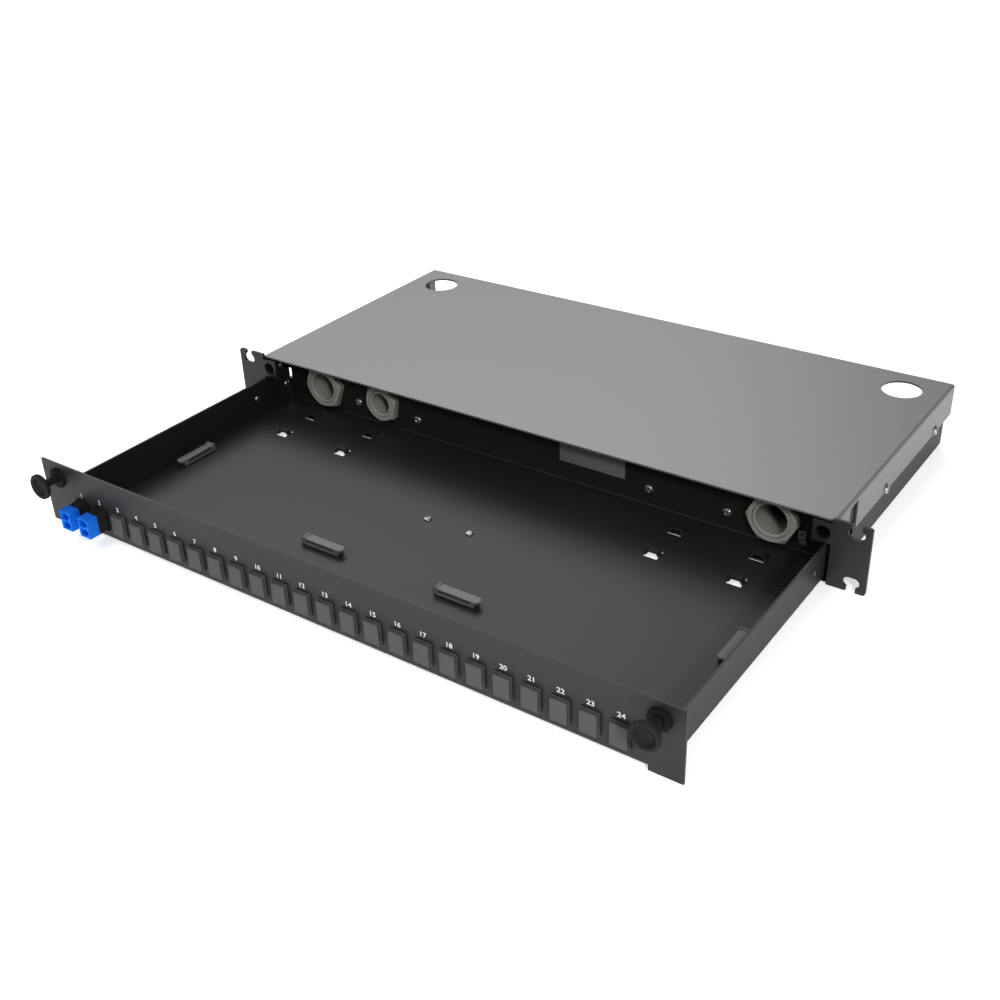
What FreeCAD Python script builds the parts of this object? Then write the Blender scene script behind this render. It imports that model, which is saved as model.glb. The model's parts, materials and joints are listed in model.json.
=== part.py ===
"""Sliding fibre patch panel for a 19 inch rack, one unit high, with its tray pulled out.

Millimetres. +X runs to the right, +Y to the rear and +Z up. The origin lies on the base pan's
underside, in the middle of the cover's width and depth. The tray stands at its outer stop and
both panel latches are pulled out.
"""
import FreeCAD
import Part
import math
import os

V = FreeCAD.Vector
X_AXIS = V(1, 0, 0)
Y_AXIS = V(0, 1, 0)
Z_AXIS = V(0, 0, 1)

# Rack sizes
RACK_WIDTH = 482.6
EAR_SLOT_INSET = 8.75
RACK_HOLE_SPACING_Z = 31.75
UNIT_HEIGHT = 43.65

# Housing
EAR_REACH = 21.3
HOUSING_DEPTH = 205.0
HOUSING_TOP = 42.0
HOUSING_SHEET = 1.2
INNER_BEND = 0.8
COVER_FLANGE = 22.0
COVER_FIT = 0.2
PAN_SHORTFALL = 9.0
COVER_HOLE_DIAMETER = 26.5
COVER_HOLE_INSET_X = 27.5
COVER_HOLE_INSET_Y = 25.0
SIDE_SLOT_START = 21.0
SIDE_SLOT_WIDTH = 12.0
SIDE_SLOT_TOP_GAP = 3.0
SIDE_WINDOW_BOTTOM = 16.0
SIDE_WINDOW_TOP = 25.0
COVER_SCREW_SETBACKS = (82.0, 172.0)
COVER_SCREW_RISE = 2.0
COVER_NOTCH_RISE = 6.0

# Rack ears
EAR_SHEET = 2.0
EAR_INNER_GAP = 0.8
EAR_SLOT_WIDTH = 6.8
EAR_SLOT_LENGTH = 10.0
EAR_MOUTH_WIDTH = 5.8
EAR_CORNER = 1.5
LATCH_TAB_WIDTH = 13.0
LATCH_TAB_HEIGHT = 13.2
LATCH_TAB_GAP = 0.3
EAR_SCREW_SETBACK = 12.0
EAR_SCREW_SPACING = 6.0
EAR_NOTCH_LENGTH = 7.5
EAR_NOTCH_CLEARANCE = 1.2

# Screws
SCREW_DIAMETER = 3.0
SCREW_HEAD_DIAMETER = 5.6
SCREW_HEAD_HEIGHT = 1.9
SCREW_HOLE_CLEARANCE = 0.2
HEAD_TAPER = 0.7

# Tray
TRAY_SHEET = 1.5
TRAY_UNDERSIDE = 2.0
TRAY_WALL_TOP = 26.5
REAR_WALL_INSET = 5.2
REAR_WALL_TOP = 39.5
REAR_PROUD = 2.0
RETAINED_LENGTH = 18.0
SEAT_GAP = 0.3
STOP_GAP = 0.3
PANEL_OVERHANG = 6.8
PANEL_FOLD_INSET = 8.2

# Slide guides
GUIDE_LEDGE = 0.7
GUIDE_UPPER_LEDGE = 1.2
GUIDE_WEB = 0.9
GUIDE_LOWER_REACH = 7.4
GUIDE_UPPER_REACH = 4.4
GUIDE_RUNNING_GAP = 0.3
GUIDE_FRONT_GAP = 4.0
GUIDE_REAR_GAP = 2.0

# Adapter openings
PORT_COUNT = 24
PORT_END_MARGIN = 14.8
PORT_CENTRE_HEIGHT = 15.5
PORT_OPENING_WIDTH = 9.5
PORT_OPENING_HEIGHT = 13.1
PORT_FIT = 0.1
ADAPTER_PORTS = (1, 2)

# Blanking plugs
PLUG_FACE_WIDTH = 11.0
PLUG_FACE_HEIGHT = 14.6
PLUG_FACE_THICKNESS = 3.0
PLUG_BODY_LENGTH = 9.0
PLUG_WALL = 1.2
PLUG_EDGE = 0.7
PLUG_BARB = 0.8

# Duplex adapters
ADAPTER_FRONT_LENGTH = 14.5
ADAPTER_REAR_LENGTH = 13.0
ADAPTER_COLLAR_WIDTH = 10.8
ADAPTER_COLLAR_HEIGHT = 14.4
ADAPTER_COLLAR_THICKNESS = 1.6
SOCKET_SPACING = 6.2
SOCKET_WIDTH = 5.3
SOCKET_HEIGHT = 4.9
SOCKET_KEY_WIDTH = 1.5
SOCKET_KEY_HEIGHT = 2.6
ADAPTER_WEB = 1.6
SLEEVE_OUTER = 1.6
SLEEVE_BORE = 1.25
SLEEVE_LENGTH = 6.8
SLEEVE_HOLDER_OUTER = 2.7
SLEEVE_FIT = 0.05
CLIP_SHEET = 0.3
CLIP_LENGTH = 7.0
CLIP_HEIGHT = 8.0
CLIP_SPREAD = 0.9
CLIP_GAP = 0.3

# Panel latches
LATCH_INSET = 3.0
LATCH_HEIGHT = 33.4
LATCH_STROKE = 9.5
LATCH_STROKE_SPARE = 0.3
GROMMET_FLANGE_DIAMETER = 13.0
GROMMET_FLANGE_THICKNESS = 1.8
GROMMET_BODY_DIAMETER = 7.6
GROMMET_BODY_LENGTH = 6.8
GROMMET_HOLE_CLEARANCE = 0.2
GROMMET_SLIT = 1.0
LATCH_TAB_CLEARANCE = 1.0
PLUNGER_STEM_DIAMETER = 5.0
PLUNGER_RUNNING_GAP = 0.06
PLUNGER_HEAD_DIAMETER = 16.5
PLUNGER_HEAD_THICKNESS = 3.4
PLUNGER_DISH_DEPTH = 1.4
PLUNGER_RIB_PITCH = 3.2
PLUNGER_RIB_DEPTH = 0.5
PLUNGER_TIP_CONE = 0.8
PLUNGER_INSERTION = 1.2

# Cable glands
GLAND_HEIGHT = 21.5
OUTER_ENTRY_INSET = 40.2
ENTRY_SPACING = 54.0
LARGE_THREAD = 25.0
LARGE_BORE = 20.0
LARGE_FLATS = 30.0
SMALL_THREAD = 20.0
SMALL_BORE = 15.0
SMALL_FLATS = 25.6
LOCK_NUT_THICKNESS = 5.0
GLAND_COLLAR_THICKNESS = 6.0
GLAND_SLEEVE_LENGTH = 9.0
GLAND_CAP_LENGTH = 19.0
GLAND_CAP_WALL = 2.2
GLAND_NOSE_RATIO = 0.94
GLAND_NOSE_TAPER = 0.9
GLAND_FIT = 0.2
GLAND_SEAL_WALL = 2.4
LARGE_NUT_TURN = -50.0
SMALL_NUT_TURN = -40.0
RIGHT_NUT_TURN = -58.0
KNOCKOUT_DEPTH = 0.5
KNOCKOUT_LINE = 0.6

# Rear wall fittings
TIE_OFF_OFFSET = 30.0
TIE_OFF_HEIGHT = 15.0
TIE_OFF_HEAD_DIAMETER = 6.4
TIE_OFF_SHANK = 6.0
EARTH_TAB_INSET = 20.9
EARTH_TAB_WIDTH = 4.8
EARTH_TAB_BOTTOM = 8.5
EARTH_TAB_FOOT = 3.5
EARTH_TAB_STEP = 3.0
EARTH_TAB_BLADE = 6.3
EARTH_TAB_SHEET = 0.8
EARTH_TAB_HOLE = 1.6

# Tie bridges pressed up from the floor
BRIDGE_LENGTH = 10.0
BRIDGE_OPENING = 11.0
BRIDGE_STRIP = 3.6
BRIDGE_RISE = 2.6
BRIDGE_RAMP = 1.7
BRIDGE_SETBACKS = (18.0, 48.0)

# Floor fittings
SPLICE_SCREW_X = 16.2
SPLICE_SCREW_SETBACK = 120.8
SPLICE_HEAD_DIAMETER = 5.0
SPLICE_HEAD_HEIGHT = 1.4
RIVET_DIAMETER = 3.2
RIVET_HEAD_DIAMETER = 5.0
RIVET_HEAD_HEIGHT = 1.0
RIVET_HEIGHT = 14.5
RIVET_SETBACKS = (3.0, 34.0)

# Cable saddles
SADDLE_LENGTH = 28.0
SADDLE_WIDTH = 6.0
SADDLE_BASE_THICKNESS = 1.0
SADDLE_GAP = 2.2
SADDLE_ARM_THICKNESS = 1.2
SADDLE_POST = 3.0
SADDLE_PIN_DIAMETER = 1.6
SADDLE_PIN_GAP = 0.05
SADDLE_EAR_THICKNESS = 1.1
SADDLE_EAR_GAP = 0.15
SADDLE_TAB_LENGTH = 3.2
FRONT_SADDLE_X = 50.5
FRONT_SADDLE_SETBACK = 60.8
SIDE_SADDLE_INSET = 13.2
SIDE_SADDLE_SETBACK = 102.8

# Planes and lengths worked out from the sizes above
HALF_WIDTH = RACK_WIDTH / 2 - EAR_REACH
EAR_SLOT_X = RACK_WIDTH / 2 - EAR_SLOT_INSET
FRONT = -HOUSING_DEPTH / 2
REAR = HOUSING_DEPTH / 2
PAN_HALF_WIDTH = HALF_WIDTH - HOUSING_SHEET - COVER_FIT
PAN_INNER = PAN_HALF_WIDTH - HOUSING_SHEET
COVER_UNDERSIDE = HOUSING_TOP - HOUSING_SHEET
PAN_WALL_TOP = COVER_UNDERSIDE - INNER_BEND
COVER_FLANGE_BOTTOM = HOUSING_TOP - COVER_FLANGE
EAR_FACE = FRONT - EAR_SHEET
TRAY_TRAVEL = HOUSING_DEPTH + REAR_PROUD - TRAY_SHEET - RETAINED_LENGTH
PANEL_BACK = EAR_FACE - SEAT_GAP - TRAY_TRAVEL
PANEL_FACE = PANEL_BACK - TRAY_SHEET
REAR_WALL_INNER = FRONT + RETAINED_LENGTH
TRAY_END = REAR_WALL_INNER + TRAY_SHEET
TRAY_FLOOR = TRAY_UNDERSIDE + TRAY_SHEET
TRAY_HALF_WIDTH = PAN_INNER - GUIDE_WEB - GUIDE_RUNNING_GAP
TRAY_INNER = TRAY_HALF_WIDTH - TRAY_SHEET
REAR_WALL_HALF_WIDTH = TRAY_HALF_WIDTH - REAR_WALL_INSET
PANEL_HALF_WIDTH = HALF_WIDTH + PANEL_OVERHANG
PANEL_FOLD_HALF_WIDTH = TRAY_HALF_WIDTH - PANEL_FOLD_INSET
PORT_PITCH = 2 * (PANEL_FOLD_HALF_WIDTH - PORT_END_MARGIN) / (PORT_COUNT - 1)
LATCH_X = TRAY_HALF_WIDTH - LATCH_INSET
OUTER_ENTRY_X = TRAY_HALF_WIDTH - OUTER_ENTRY_INSET
INNER_ENTRY_X = OUTER_ENTRY_X - ENTRY_SPACING
EARTH_TAB_X = TRAY_HALF_WIDTH - EARTH_TAB_INSET
SIDE_SADDLE_X = TRAY_HALF_WIDTH - SIDE_SADDLE_INSET
GUIDE_TOP = TRAY_WALL_TOP + GUIDE_RUNNING_GAP + GUIDE_UPPER_LEDGE
LATCH_TAB_INNER = LATCH_X - LATCH_TAB_WIDTH / 2
STOP_BACK = REAR_WALL_INNER - STOP_GAP


def block(x0, x1, y0, y1, z0, z1):
    """Box between two opposite corners."""
    return Part.makeBox(x1 - x0, y1 - y0, z1 - z0, V(x0, y0, z0))


def rod(diameter, length, start, direction):
    """Round bar from a start point."""
    return Part.makeCylinder(diameter / 2, length, start, direction)


def tube(outer, inner, length, start, direction):
    """Round tube from a start point."""
    return rod(outer, length, start, direction).cut(rod(inner, length, start, direction))


def cross_section(points, direction):
    """Solid pushed out from a closed flat outline."""
    wire = Part.makePolygon(points + [points[0]])
    return Part.Face(wire).extrude(direction)


def mirrored(shape):
    """The same piece on the other side of the centre plane."""
    return shape.mirror(V(0, 0, 0), X_AXIS)


def joined(shapes):
    """One solid from pieces that meet."""
    return shapes[0].multiFuse(shapes[1:]).removeSplitter()


def hexagon(flats, length, start, turn):
    """Hexagonal bar along +Y, its first corner turned from +X about the axis."""
    corner = flats / math.sqrt(3)
    points = []
    for index in range(6):
        angle = math.radians(turn + index * 60)
        points.append(start + V(corner * math.cos(angle), 0, corner * math.sin(angle)))
    return cross_section(points, V(0, length, 0))


def folded_strip(corners, normal, sheet):
    """Face of a sheet seen edge on, folded at the corners of its middle line."""
    middle_radius = INNER_BEND + sheet / 2
    sides = {1: [], -1: []}
    ends = {1: corners[0], -1: corners[0]}
    first = (corners[1] - corners[0]).normalize()
    for side in sides:
        ends[side] = corners[0] + normal.cross(first) * (side * sheet / 2)
    starts = dict(ends)
    for before, corner, after in zip(corners, corners[1:], corners[2:]):
        incoming = (corner - before).normalize()
        outgoing = (after - corner).normalize()
        turn = 1 if incoming.cross(outgoing).dot(normal) > 0 else -1
        tangent = middle_radius * math.tan(incoming.getAngle(outgoing) / 2)
        left_in = normal.cross(incoming)
        left_out = normal.cross(outgoing)
        centre = corner - incoming * tangent + left_in * (turn * middle_radius)
        for side in sides:
            radius = middle_radius - turn * side * sheet / 2
            bend_start = corner - incoming * tangent + left_in * (side * sheet / 2)
            bend_middle = centre + (corner - centre).normalize() * radius
            bend_end = corner + outgoing * tangent + left_out * (side * sheet / 2)
            sides[side].append(Part.LineSegment(ends[side], bend_start).toShape())
            sides[side].append(Part.Arc(bend_start, bend_middle, bend_end).toShape())
            ends[side] = bend_end
    last = (corners[-1] - corners[-2]).normalize()
    for side in sides:
        tip = corners[-1] + normal.cross(last) * (side * sheet / 2)
        sides[side].append(Part.LineSegment(ends[side], tip).toShape())
        ends[side] = tip
    caps = [Part.LineSegment(starts[1], starts[-1]).toShape(), Part.LineSegment(ends[1], ends[-1]).toShape()]
    edges = Part.sortEdges(sides[1] + sides[-1] + caps)[0]
    return Part.Face(Part.Wire(edges))


def folded_along_y(outline, y0, y1, sheet):
    """Folded sheet whose outline of (x, z) corners runs from y0 to y1."""
    corners = [V(x, y0, z) for x, z in outline]
    return folded_strip(corners, Y_AXIS, sheet).extrude(V(0, y1 - y0, 0))


def folded_along_x(outline, x0, x1, sheet):
    """Folded sheet whose outline of (y, z) corners runs from x0 to x1."""
    corners = [V(x0, y, z) for y, z in outline]
    return folded_strip(corners, X_AXIS, sheet).extrude(V(x1 - x0, 0, 0))


def pan_head_screw(face, direction, shank, head_diameter, head_height):
    """Screw whose head sits on a face point, the shank running along the direction."""
    stem = rod(SCREW_DIAMETER, shank, face, direction)
    foot = head_diameter / 2
    head = Part.makeCone(foot, foot * HEAD_TAPER, head_height, face, direction * -1)
    return joined([head, stem])


def top_cover():
    """Lid with side flanges, two round holes at the rear and cut-outs in the flanges."""
    edge = HALF_WIDTH - HOUSING_SHEET / 2
    top = HOUSING_TOP - HOUSING_SHEET / 2
    outline = [(-edge, COVER_FLANGE_BOTTOM), (-edge, top), (edge, top), (edge, COVER_FLANGE_BOTTOM)]
    lid = folded_along_y(outline, FRONT, REAR, HOUSING_SHEET)
    cutters = []
    for side in (-1, 1):
        hole_x = side * (HALF_WIDTH - COVER_HOLE_INSET_X)
        start = V(hole_x, REAR - COVER_HOLE_INSET_Y, COVER_UNDERSIDE - 1)
        cutters.append(rod(COVER_HOLE_DIAMETER, HOUSING_SHEET + 2, start, Z_AXIS))
        inner, outer = sorted((side * (PAN_HALF_WIDTH - 1), side * (HALF_WIDTH + 1)))
        slot_start = FRONT + SIDE_SLOT_START
        cutters.append(block(inner, outer, slot_start, slot_start + SIDE_SLOT_WIDTH,
                             COVER_FLANGE_BOTTOM - 1, HOUSING_TOP - SIDE_SLOT_TOP_GAP))
        half_notch = SCREW_DIAMETER / 2 + SCREW_HOLE_CLEARANCE
        for setback in COVER_SCREW_SETBACKS:
            notch_y = FRONT + setback
            cutters.append(block(inner, outer, notch_y - half_notch, notch_y + half_notch,
                                 COVER_FLANGE_BOTTOM - 1, COVER_FLANGE_BOTTOM + COVER_NOTCH_RISE))
    return lid.cut(Part.makeCompound(cutters))


def base_pan():
    """Folded pan with a window and screw holes in each side."""
    edge = PAN_HALF_WIDTH - HOUSING_SHEET / 2
    floor = HOUSING_SHEET / 2
    outline = [(-edge, PAN_WALL_TOP), (-edge, floor), (edge, floor), (edge, PAN_WALL_TOP)]
    pan = folded_along_y(outline, FRONT, REAR - PAN_SHORTFALL, HOUSING_SHEET)
    cutters = []
    for side in (-1, 1):
        outside = V(side * (HALF_WIDTH + 1), 0, 0)
        inward = X_AXIS * -side
        depth = HALF_WIDTH - PAN_INNER + 2
        cutters.append(side_window(side))
        for setback in COVER_SCREW_SETBACKS:
            start = outside + V(0, FRONT + setback, COVER_FLANGE_BOTTOM + COVER_SCREW_RISE)
            cutters.append(rod(SCREW_DIAMETER, depth, start, inward))
        for height in ear_screw_heights():
            start = outside + V(0, FRONT + EAR_SCREW_SETBACK, height)
            cutters.append(rod(SCREW_DIAMETER, depth, start, inward))
    return pan.cut(Part.makeCompound(cutters))


def side_window(side):
    """Cutter for the window through one side of the pan and its guide."""
    inner, outer = sorted((side * (TRAY_HALF_WIDTH + GUIDE_RUNNING_GAP / 2), side * (HALF_WIDTH + 1)))
    start = FRONT + SIDE_SLOT_START
    return block(inner, outer, start, start + SIDE_SLOT_WIDTH, SIDE_WINDOW_BOTTOM, SIDE_WINDOW_TOP)


def ear_flange_bottom():
    """Underside of the ear's side flange, above the slide guide."""
    return GUIDE_TOP + GUIDE_RUNNING_GAP


def ear_screw_heights():
    """Heights of the two screws through the ear's side flange."""
    middle = (ear_flange_bottom() + PAN_WALL_TOP) / 2
    return (middle - EAR_SCREW_SPACING / 2, middle + EAR_SCREW_SPACING / 2)


def ear_slot_cutter(height, towards):
    """Slot for a rack screw with a narrower mouth to the nearer edge of the ear."""
    centre_x = EAR_SLOT_X
    reach = (EAR_SLOT_LENGTH - EAR_SLOT_WIDTH) / 2
    y0 = EAR_FACE - 1
    depth = EAR_SHEET + 2
    pieces = [block(centre_x - reach, centre_x + reach, y0, y0 + depth,
                    height - EAR_SLOT_WIDTH / 2, height + EAR_SLOT_WIDTH / 2)]
    for shift in (-reach, reach):
        pieces.append(rod(EAR_SLOT_WIDTH, depth, V(centre_x + shift, y0, height), Y_AXIS))
    far = height + towards * UNIT_HEIGHT / 2
    low, high = sorted((height, far))
    pieces.append(block(centre_x - EAR_MOUTH_WIDTH / 2, centre_x + EAR_MOUTH_WIDTH / 2,
                        y0, y0 + depth, low, high))
    return joined(pieces)


def right_rack_ear():
    """Bracket with rack slots, latch tab, side flange and stop lug."""
    inner = PAN_INNER + EAR_INNER_GAP
    plate = block(inner, RACK_WIDTH / 2, EAR_FACE, FRONT, 0, UNIT_HEIGHT)
    outer_corners = [edge for edge in plate.Edges
                     if edge.CenterOfMass.x > RACK_WIDTH / 2 - 0.1
                     and abs(edge.CenterOfMass.y - (EAR_FACE + FRONT) / 2) < 0.1]
    plate = plate.makeFillet(EAR_CORNER, outer_corners)
    middle = UNIT_HEIGHT / 2
    plate = plate.cut(ear_slot_cutter(middle - RACK_HOLE_SPACING_Z / 2, -1))
    plate = plate.cut(ear_slot_cutter(middle + RACK_HOLE_SPACING_Z / 2, 1))
    tab_bottom = TRAY_WALL_TOP + LATCH_TAB_GAP
    tab = block(LATCH_TAB_INNER, inner, EAR_FACE, FRONT, tab_bottom, tab_bottom + LATCH_TAB_HEIGHT)
    lug_x = LATCH_TAB_INNER
    flange_x = PAN_INNER - EAR_SHEET / 2
    lug_y = STOP_BACK - EAR_SHEET / 2
    path = [V(flange_x, EAR_FACE + EAR_SHEET / 2, ear_flange_bottom()),
            V(flange_x, lug_y, ear_flange_bottom()), V(lug_x, lug_y, ear_flange_bottom())]
    flange = folded_strip(path, Z_AXIS, EAR_SHEET).extrude(V(0, 0, PAN_WALL_TOP - ear_flange_bottom()))
    latch_radius = GROMMET_BODY_DIAMETER / 2 + EAR_NOTCH_CLEARANCE
    notch = block(LATCH_TAB_INNER, PAN_INNER + 1, FRONT, FRONT + EAR_NOTCH_LENGTH,
                  ear_flange_bottom() - 1, LATCH_HEIGHT + latch_radius)
    ear = joined([plate, tab, flange.cut(notch)])
    hole_start = V(LATCH_X, EAR_FACE - 1, LATCH_HEIGHT)
    ear = ear.cut(rod(GROMMET_BODY_DIAMETER + LATCH_TAB_CLEARANCE, EAR_SHEET + 2, hole_start, Y_AXIS))
    for height in ear_screw_heights():
        start = V(PAN_INNER - EAR_SHEET - 1, FRONT + EAR_SCREW_SETBACK, height)
        ear = ear.cut(rod(SCREW_DIAMETER, EAR_SHEET + 2, start, X_AXIS))
    return ear


def right_slide_guide():
    """C-channel that the tray's side wall runs in, welded to the pan's side."""
    inner_web = PAN_INNER - GUIDE_WEB
    y0 = FRONT + GUIDE_FRONT_GAP
    y1 = REAR - PAN_SHORTFALL - GUIDE_REAR_GAP
    low = HOUSING_SHEET
    ledge_top = min(low + GUIDE_LEDGE, TRAY_UNDERSIDE)
    under = TRAY_WALL_TOP + GUIDE_RUNNING_GAP
    lift = INNER_BEND
    points = [V(inner_web - GUIDE_LOWER_REACH, y0, low), V(PAN_INNER - lift, y0, low),
              V(PAN_INNER, y0, low + lift), V(PAN_INNER, y0, GUIDE_TOP),
              V(PAN_INNER - GUIDE_UPPER_REACH, y0, GUIDE_TOP), V(PAN_INNER - GUIDE_UPPER_REACH, y0, under),
              V(inner_web, y0, under), V(inner_web, y0, ledge_top),
              V(inner_web - GUIDE_LOWER_REACH, y0, ledge_top)]
    return cross_section(points, V(0, y1 - y0, 0)).cut(side_window(1))


def housing_screws():
    """Side screws of the cover and the screws of both ears."""
    screws = []
    for side in (-1, 1):
        for setback in COVER_SCREW_SETBACKS:
            face = V(side * HALF_WIDTH, FRONT + setback, COVER_FLANGE_BOTTOM + COVER_SCREW_RISE)
            shank = HALF_WIDTH - PAN_INNER
            screws.append(pan_head_screw(face, X_AXIS * -side, shank, SCREW_HEAD_DIAMETER,
                                         SCREW_HEAD_HEIGHT))
        for height in ear_screw_heights():
            face = V(side * (PAN_INNER - EAR_SHEET), FRONT + EAR_SCREW_SETBACK, height)
            shank = EAR_SHEET + HOUSING_SHEET
            screws.append(pan_head_screw(face, X_AXIS * side, shank, SCREW_HEAD_DIAMETER,
                                         SCREW_HEAD_HEIGHT))
    return Part.makeCompound(screws)


def port_x(number):
    """Centre of an adapter opening, counted from the left."""
    return (number - (PORT_COUNT + 1) / 2) * PORT_PITCH


def tie_bridge(centre_x, centre_y):
    """Strip pressed up between two openings, with sloping ends rooted in the floor."""
    start = V(centre_x, centre_y - BRIDGE_STRIP / 2, 0)
    points = []
    for side in (-1, 1):
        root = side * BRIDGE_LENGTH / 2
        crest = root - side * BRIDGE_RAMP
        shift = side * TRAY_SHEET / 2
        half = [V(root - shift, 0, TRAY_UNDERSIDE), V(root, 0, TRAY_UNDERSIDE), V(root, 0, TRAY_FLOOR),
                V(crest, 0, TRAY_FLOOR + BRIDGE_RISE)]
        under = V(crest - shift, 0, TRAY_UNDERSIDE + BRIDGE_RISE)
        points.append([under] + half)
    outline = [start + point for point in points[0] + points[1][::-1]]
    return cross_section(outline, V(0, BRIDGE_STRIP, 0))


def bridge_places():
    """Centres of the tie bridges, two in line with each cable entry."""
    places = []
    for entry_x in (-OUTER_ENTRY_X, -INNER_ENTRY_X, INNER_ENTRY_X, OUTER_ENTRY_X):
        for setback in BRIDGE_SETBACKS:
            places.append((entry_x, REAR_WALL_INNER - setback))
    return places


def tray_sheet():
    """Folded blank: floor with panel and rear wall, and the two low side walls."""
    floor = TRAY_UNDERSIDE + TRAY_SHEET / 2
    panel_y = PANEL_BACK - TRAY_SHEET / 2
    wall_y = REAR_WALL_INNER + TRAY_SHEET / 2
    side_x = TRAY_HALF_WIDTH - TRAY_SHEET / 2
    middle_y = (PANEL_BACK + REAR_WALL_INNER) / 2
    relief = TRAY_SHEET + INNER_BEND
    front = folded_along_x([(panel_y, UNIT_HEIGHT), (panel_y, floor), (middle_y, floor)],
                           -PANEL_FOLD_HALF_WIDTH, PANEL_FOLD_HALF_WIDTH, TRAY_SHEET)
    rear = folded_along_x([(middle_y, floor), (wall_y, floor), (wall_y, REAR_WALL_TOP)],
                          -REAR_WALL_HALF_WIDTH, REAR_WALL_HALF_WIDTH, TRAY_SHEET)
    outline = [(-side_x, TRAY_WALL_TOP), (-side_x, floor), (side_x, floor), (side_x, TRAY_WALL_TOP)]
    sides = folded_along_y(outline, PANEL_BACK, REAR_WALL_INNER - relief, TRAY_SHEET)
    pieces = [front, rear, sides]
    for side in (-1, 1):
        inner, outer = sorted((side * PANEL_FOLD_HALF_WIDTH, side * PANEL_HALF_WIDTH))
        pieces.append(block(inner, outer, PANEL_FACE, PANEL_BACK, 0, UNIT_HEIGHT))
    return joined(pieces)


def sliding_tray():
    """Tray with its adapter openings, entries, tie bridges and fixing holes."""
    tray = tray_sheet()
    cutters = []
    for number in range(1, PORT_COUNT + 1):
        x = port_x(number)
        cutters.append(block(x - PORT_OPENING_WIDTH / 2, x + PORT_OPENING_WIDTH / 2,
                             PANEL_FACE - 1, PANEL_BACK + 1,
                             PORT_CENTRE_HEIGHT - PORT_OPENING_HEIGHT / 2,
                             PORT_CENTRE_HEIGHT + PORT_OPENING_HEIGHT / 2))
    for side in (-1, 1):
        start = V(side * LATCH_X, PANEL_FACE - 1, LATCH_HEIGHT)
        cutters.append(rod(GROMMET_BODY_DIAMETER + GROMMET_HOLE_CLEARANCE, TRAY_SHEET + 2, start, Y_AXIS))
        for setback in RIVET_SETBACKS:
            start = V(side * (TRAY_INNER - 1), REAR_WALL_INNER - setback, RIVET_HEIGHT)
            cutters.append(rod(RIVET_DIAMETER, TRAY_SHEET + 2, start, X_AXIS * side))
        start = V(side * SPLICE_SCREW_X, PANEL_FACE + SPLICE_SCREW_SETBACK, TRAY_UNDERSIDE - 1)
        cutters.append(rod(SCREW_DIAMETER, TRAY_SHEET + 2, start, Z_AXIS))
    for x, thread in entry_sizes():
        start = V(x, REAR_WALL_INNER - 1, GLAND_HEIGHT)
        cutters.append(rod(thread + GLAND_FIT, TRAY_SHEET + 2, start, Y_AXIS))
    for x in tie_off_places():
        cutters.append(rod(SCREW_DIAMETER, TRAY_SHEET + 2, V(x, REAR_WALL_INNER - 1, TIE_OFF_HEIGHT), Y_AXIS))
    start = V(INNER_ENTRY_X, TRAY_END - KNOCKOUT_DEPTH, GLAND_HEIGHT)
    cutters.append(tube(SMALL_THREAD, SMALL_THREAD - 2 * KNOCKOUT_LINE, TRAY_SHEET, start, Y_AXIS))
    for x, y in bridge_places():
        cutters.append(block(x - BRIDGE_LENGTH / 2, x + BRIDGE_LENGTH / 2,
                             y - BRIDGE_OPENING / 2, y + BRIDGE_OPENING / 2,
                             TRAY_UNDERSIDE - 1, TRAY_FLOOR + 1))
    tray = tray.cut(Part.makeCompound(cutters))
    return joined([tray] + [tie_bridge(x, y) for x, y in bridge_places()])


def entry_sizes():
    """Cable entries that hold glands: centre and thread."""
    return ((-OUTER_ENTRY_X, LARGE_THREAD), (-INNER_ENTRY_X, SMALL_THREAD), (OUTER_ENTRY_X, LARGE_THREAD))


def tie_off_places():
    """Screws beside the cable entries, each towards the centre of its entry."""
    offsets = (OUTER_ENTRY_X - TIE_OFF_OFFSET, INNER_ENTRY_X - TIE_OFF_OFFSET)
    return [side * offset for side in (-1, 1) for offset in offsets]


def tie_off_screws():
    """Pan-head screws in the rear wall that hold a cable's strength member."""
    screws = []
    for x in tie_off_places():
        face = V(x, REAR_WALL_INNER, TIE_OFF_HEIGHT)
        screws.append(pan_head_screw(face, Y_AXIS, TIE_OFF_SHANK, TIE_OFF_HEAD_DIAMETER,
                                     SCREW_HEAD_HEIGHT))
    return Part.makeCompound(screws)


def splice_tray_screws():
    """Low screws in the middle of the floor, where a splice tray is fixed."""
    screws = []
    for side in (-1, 1):
        face = V(side * SPLICE_SCREW_X, PANEL_FACE + SPLICE_SCREW_SETBACK, TRAY_FLOOR)
        screws.append(pan_head_screw(face, Z_AXIS * -1, TRAY_SHEET, SPLICE_HEAD_DIAMETER,
                                     SPLICE_HEAD_HEIGHT))
    return Part.makeCompound(screws)


def side_wall_rivets():
    """Rivets in the low side walls, flush on the outside."""
    rivets = []
    for side in (-1, 1):
        for setback in RIVET_SETBACKS:
            face = V(side * TRAY_INNER, REAR_WALL_INNER - setback, RIVET_HEIGHT)
            shank = rod(RIVET_DIAMETER, TRAY_SHEET, face, X_AXIS * side)
            foot = RIVET_HEAD_DIAMETER / 2
            head = Part.makeCone(foot, foot * HEAD_TAPER, RIVET_HEAD_HEIGHT, face, X_AXIS * -side)
            rivets.append(joined([shank, head]))
    return Part.makeCompound(rivets)


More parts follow.
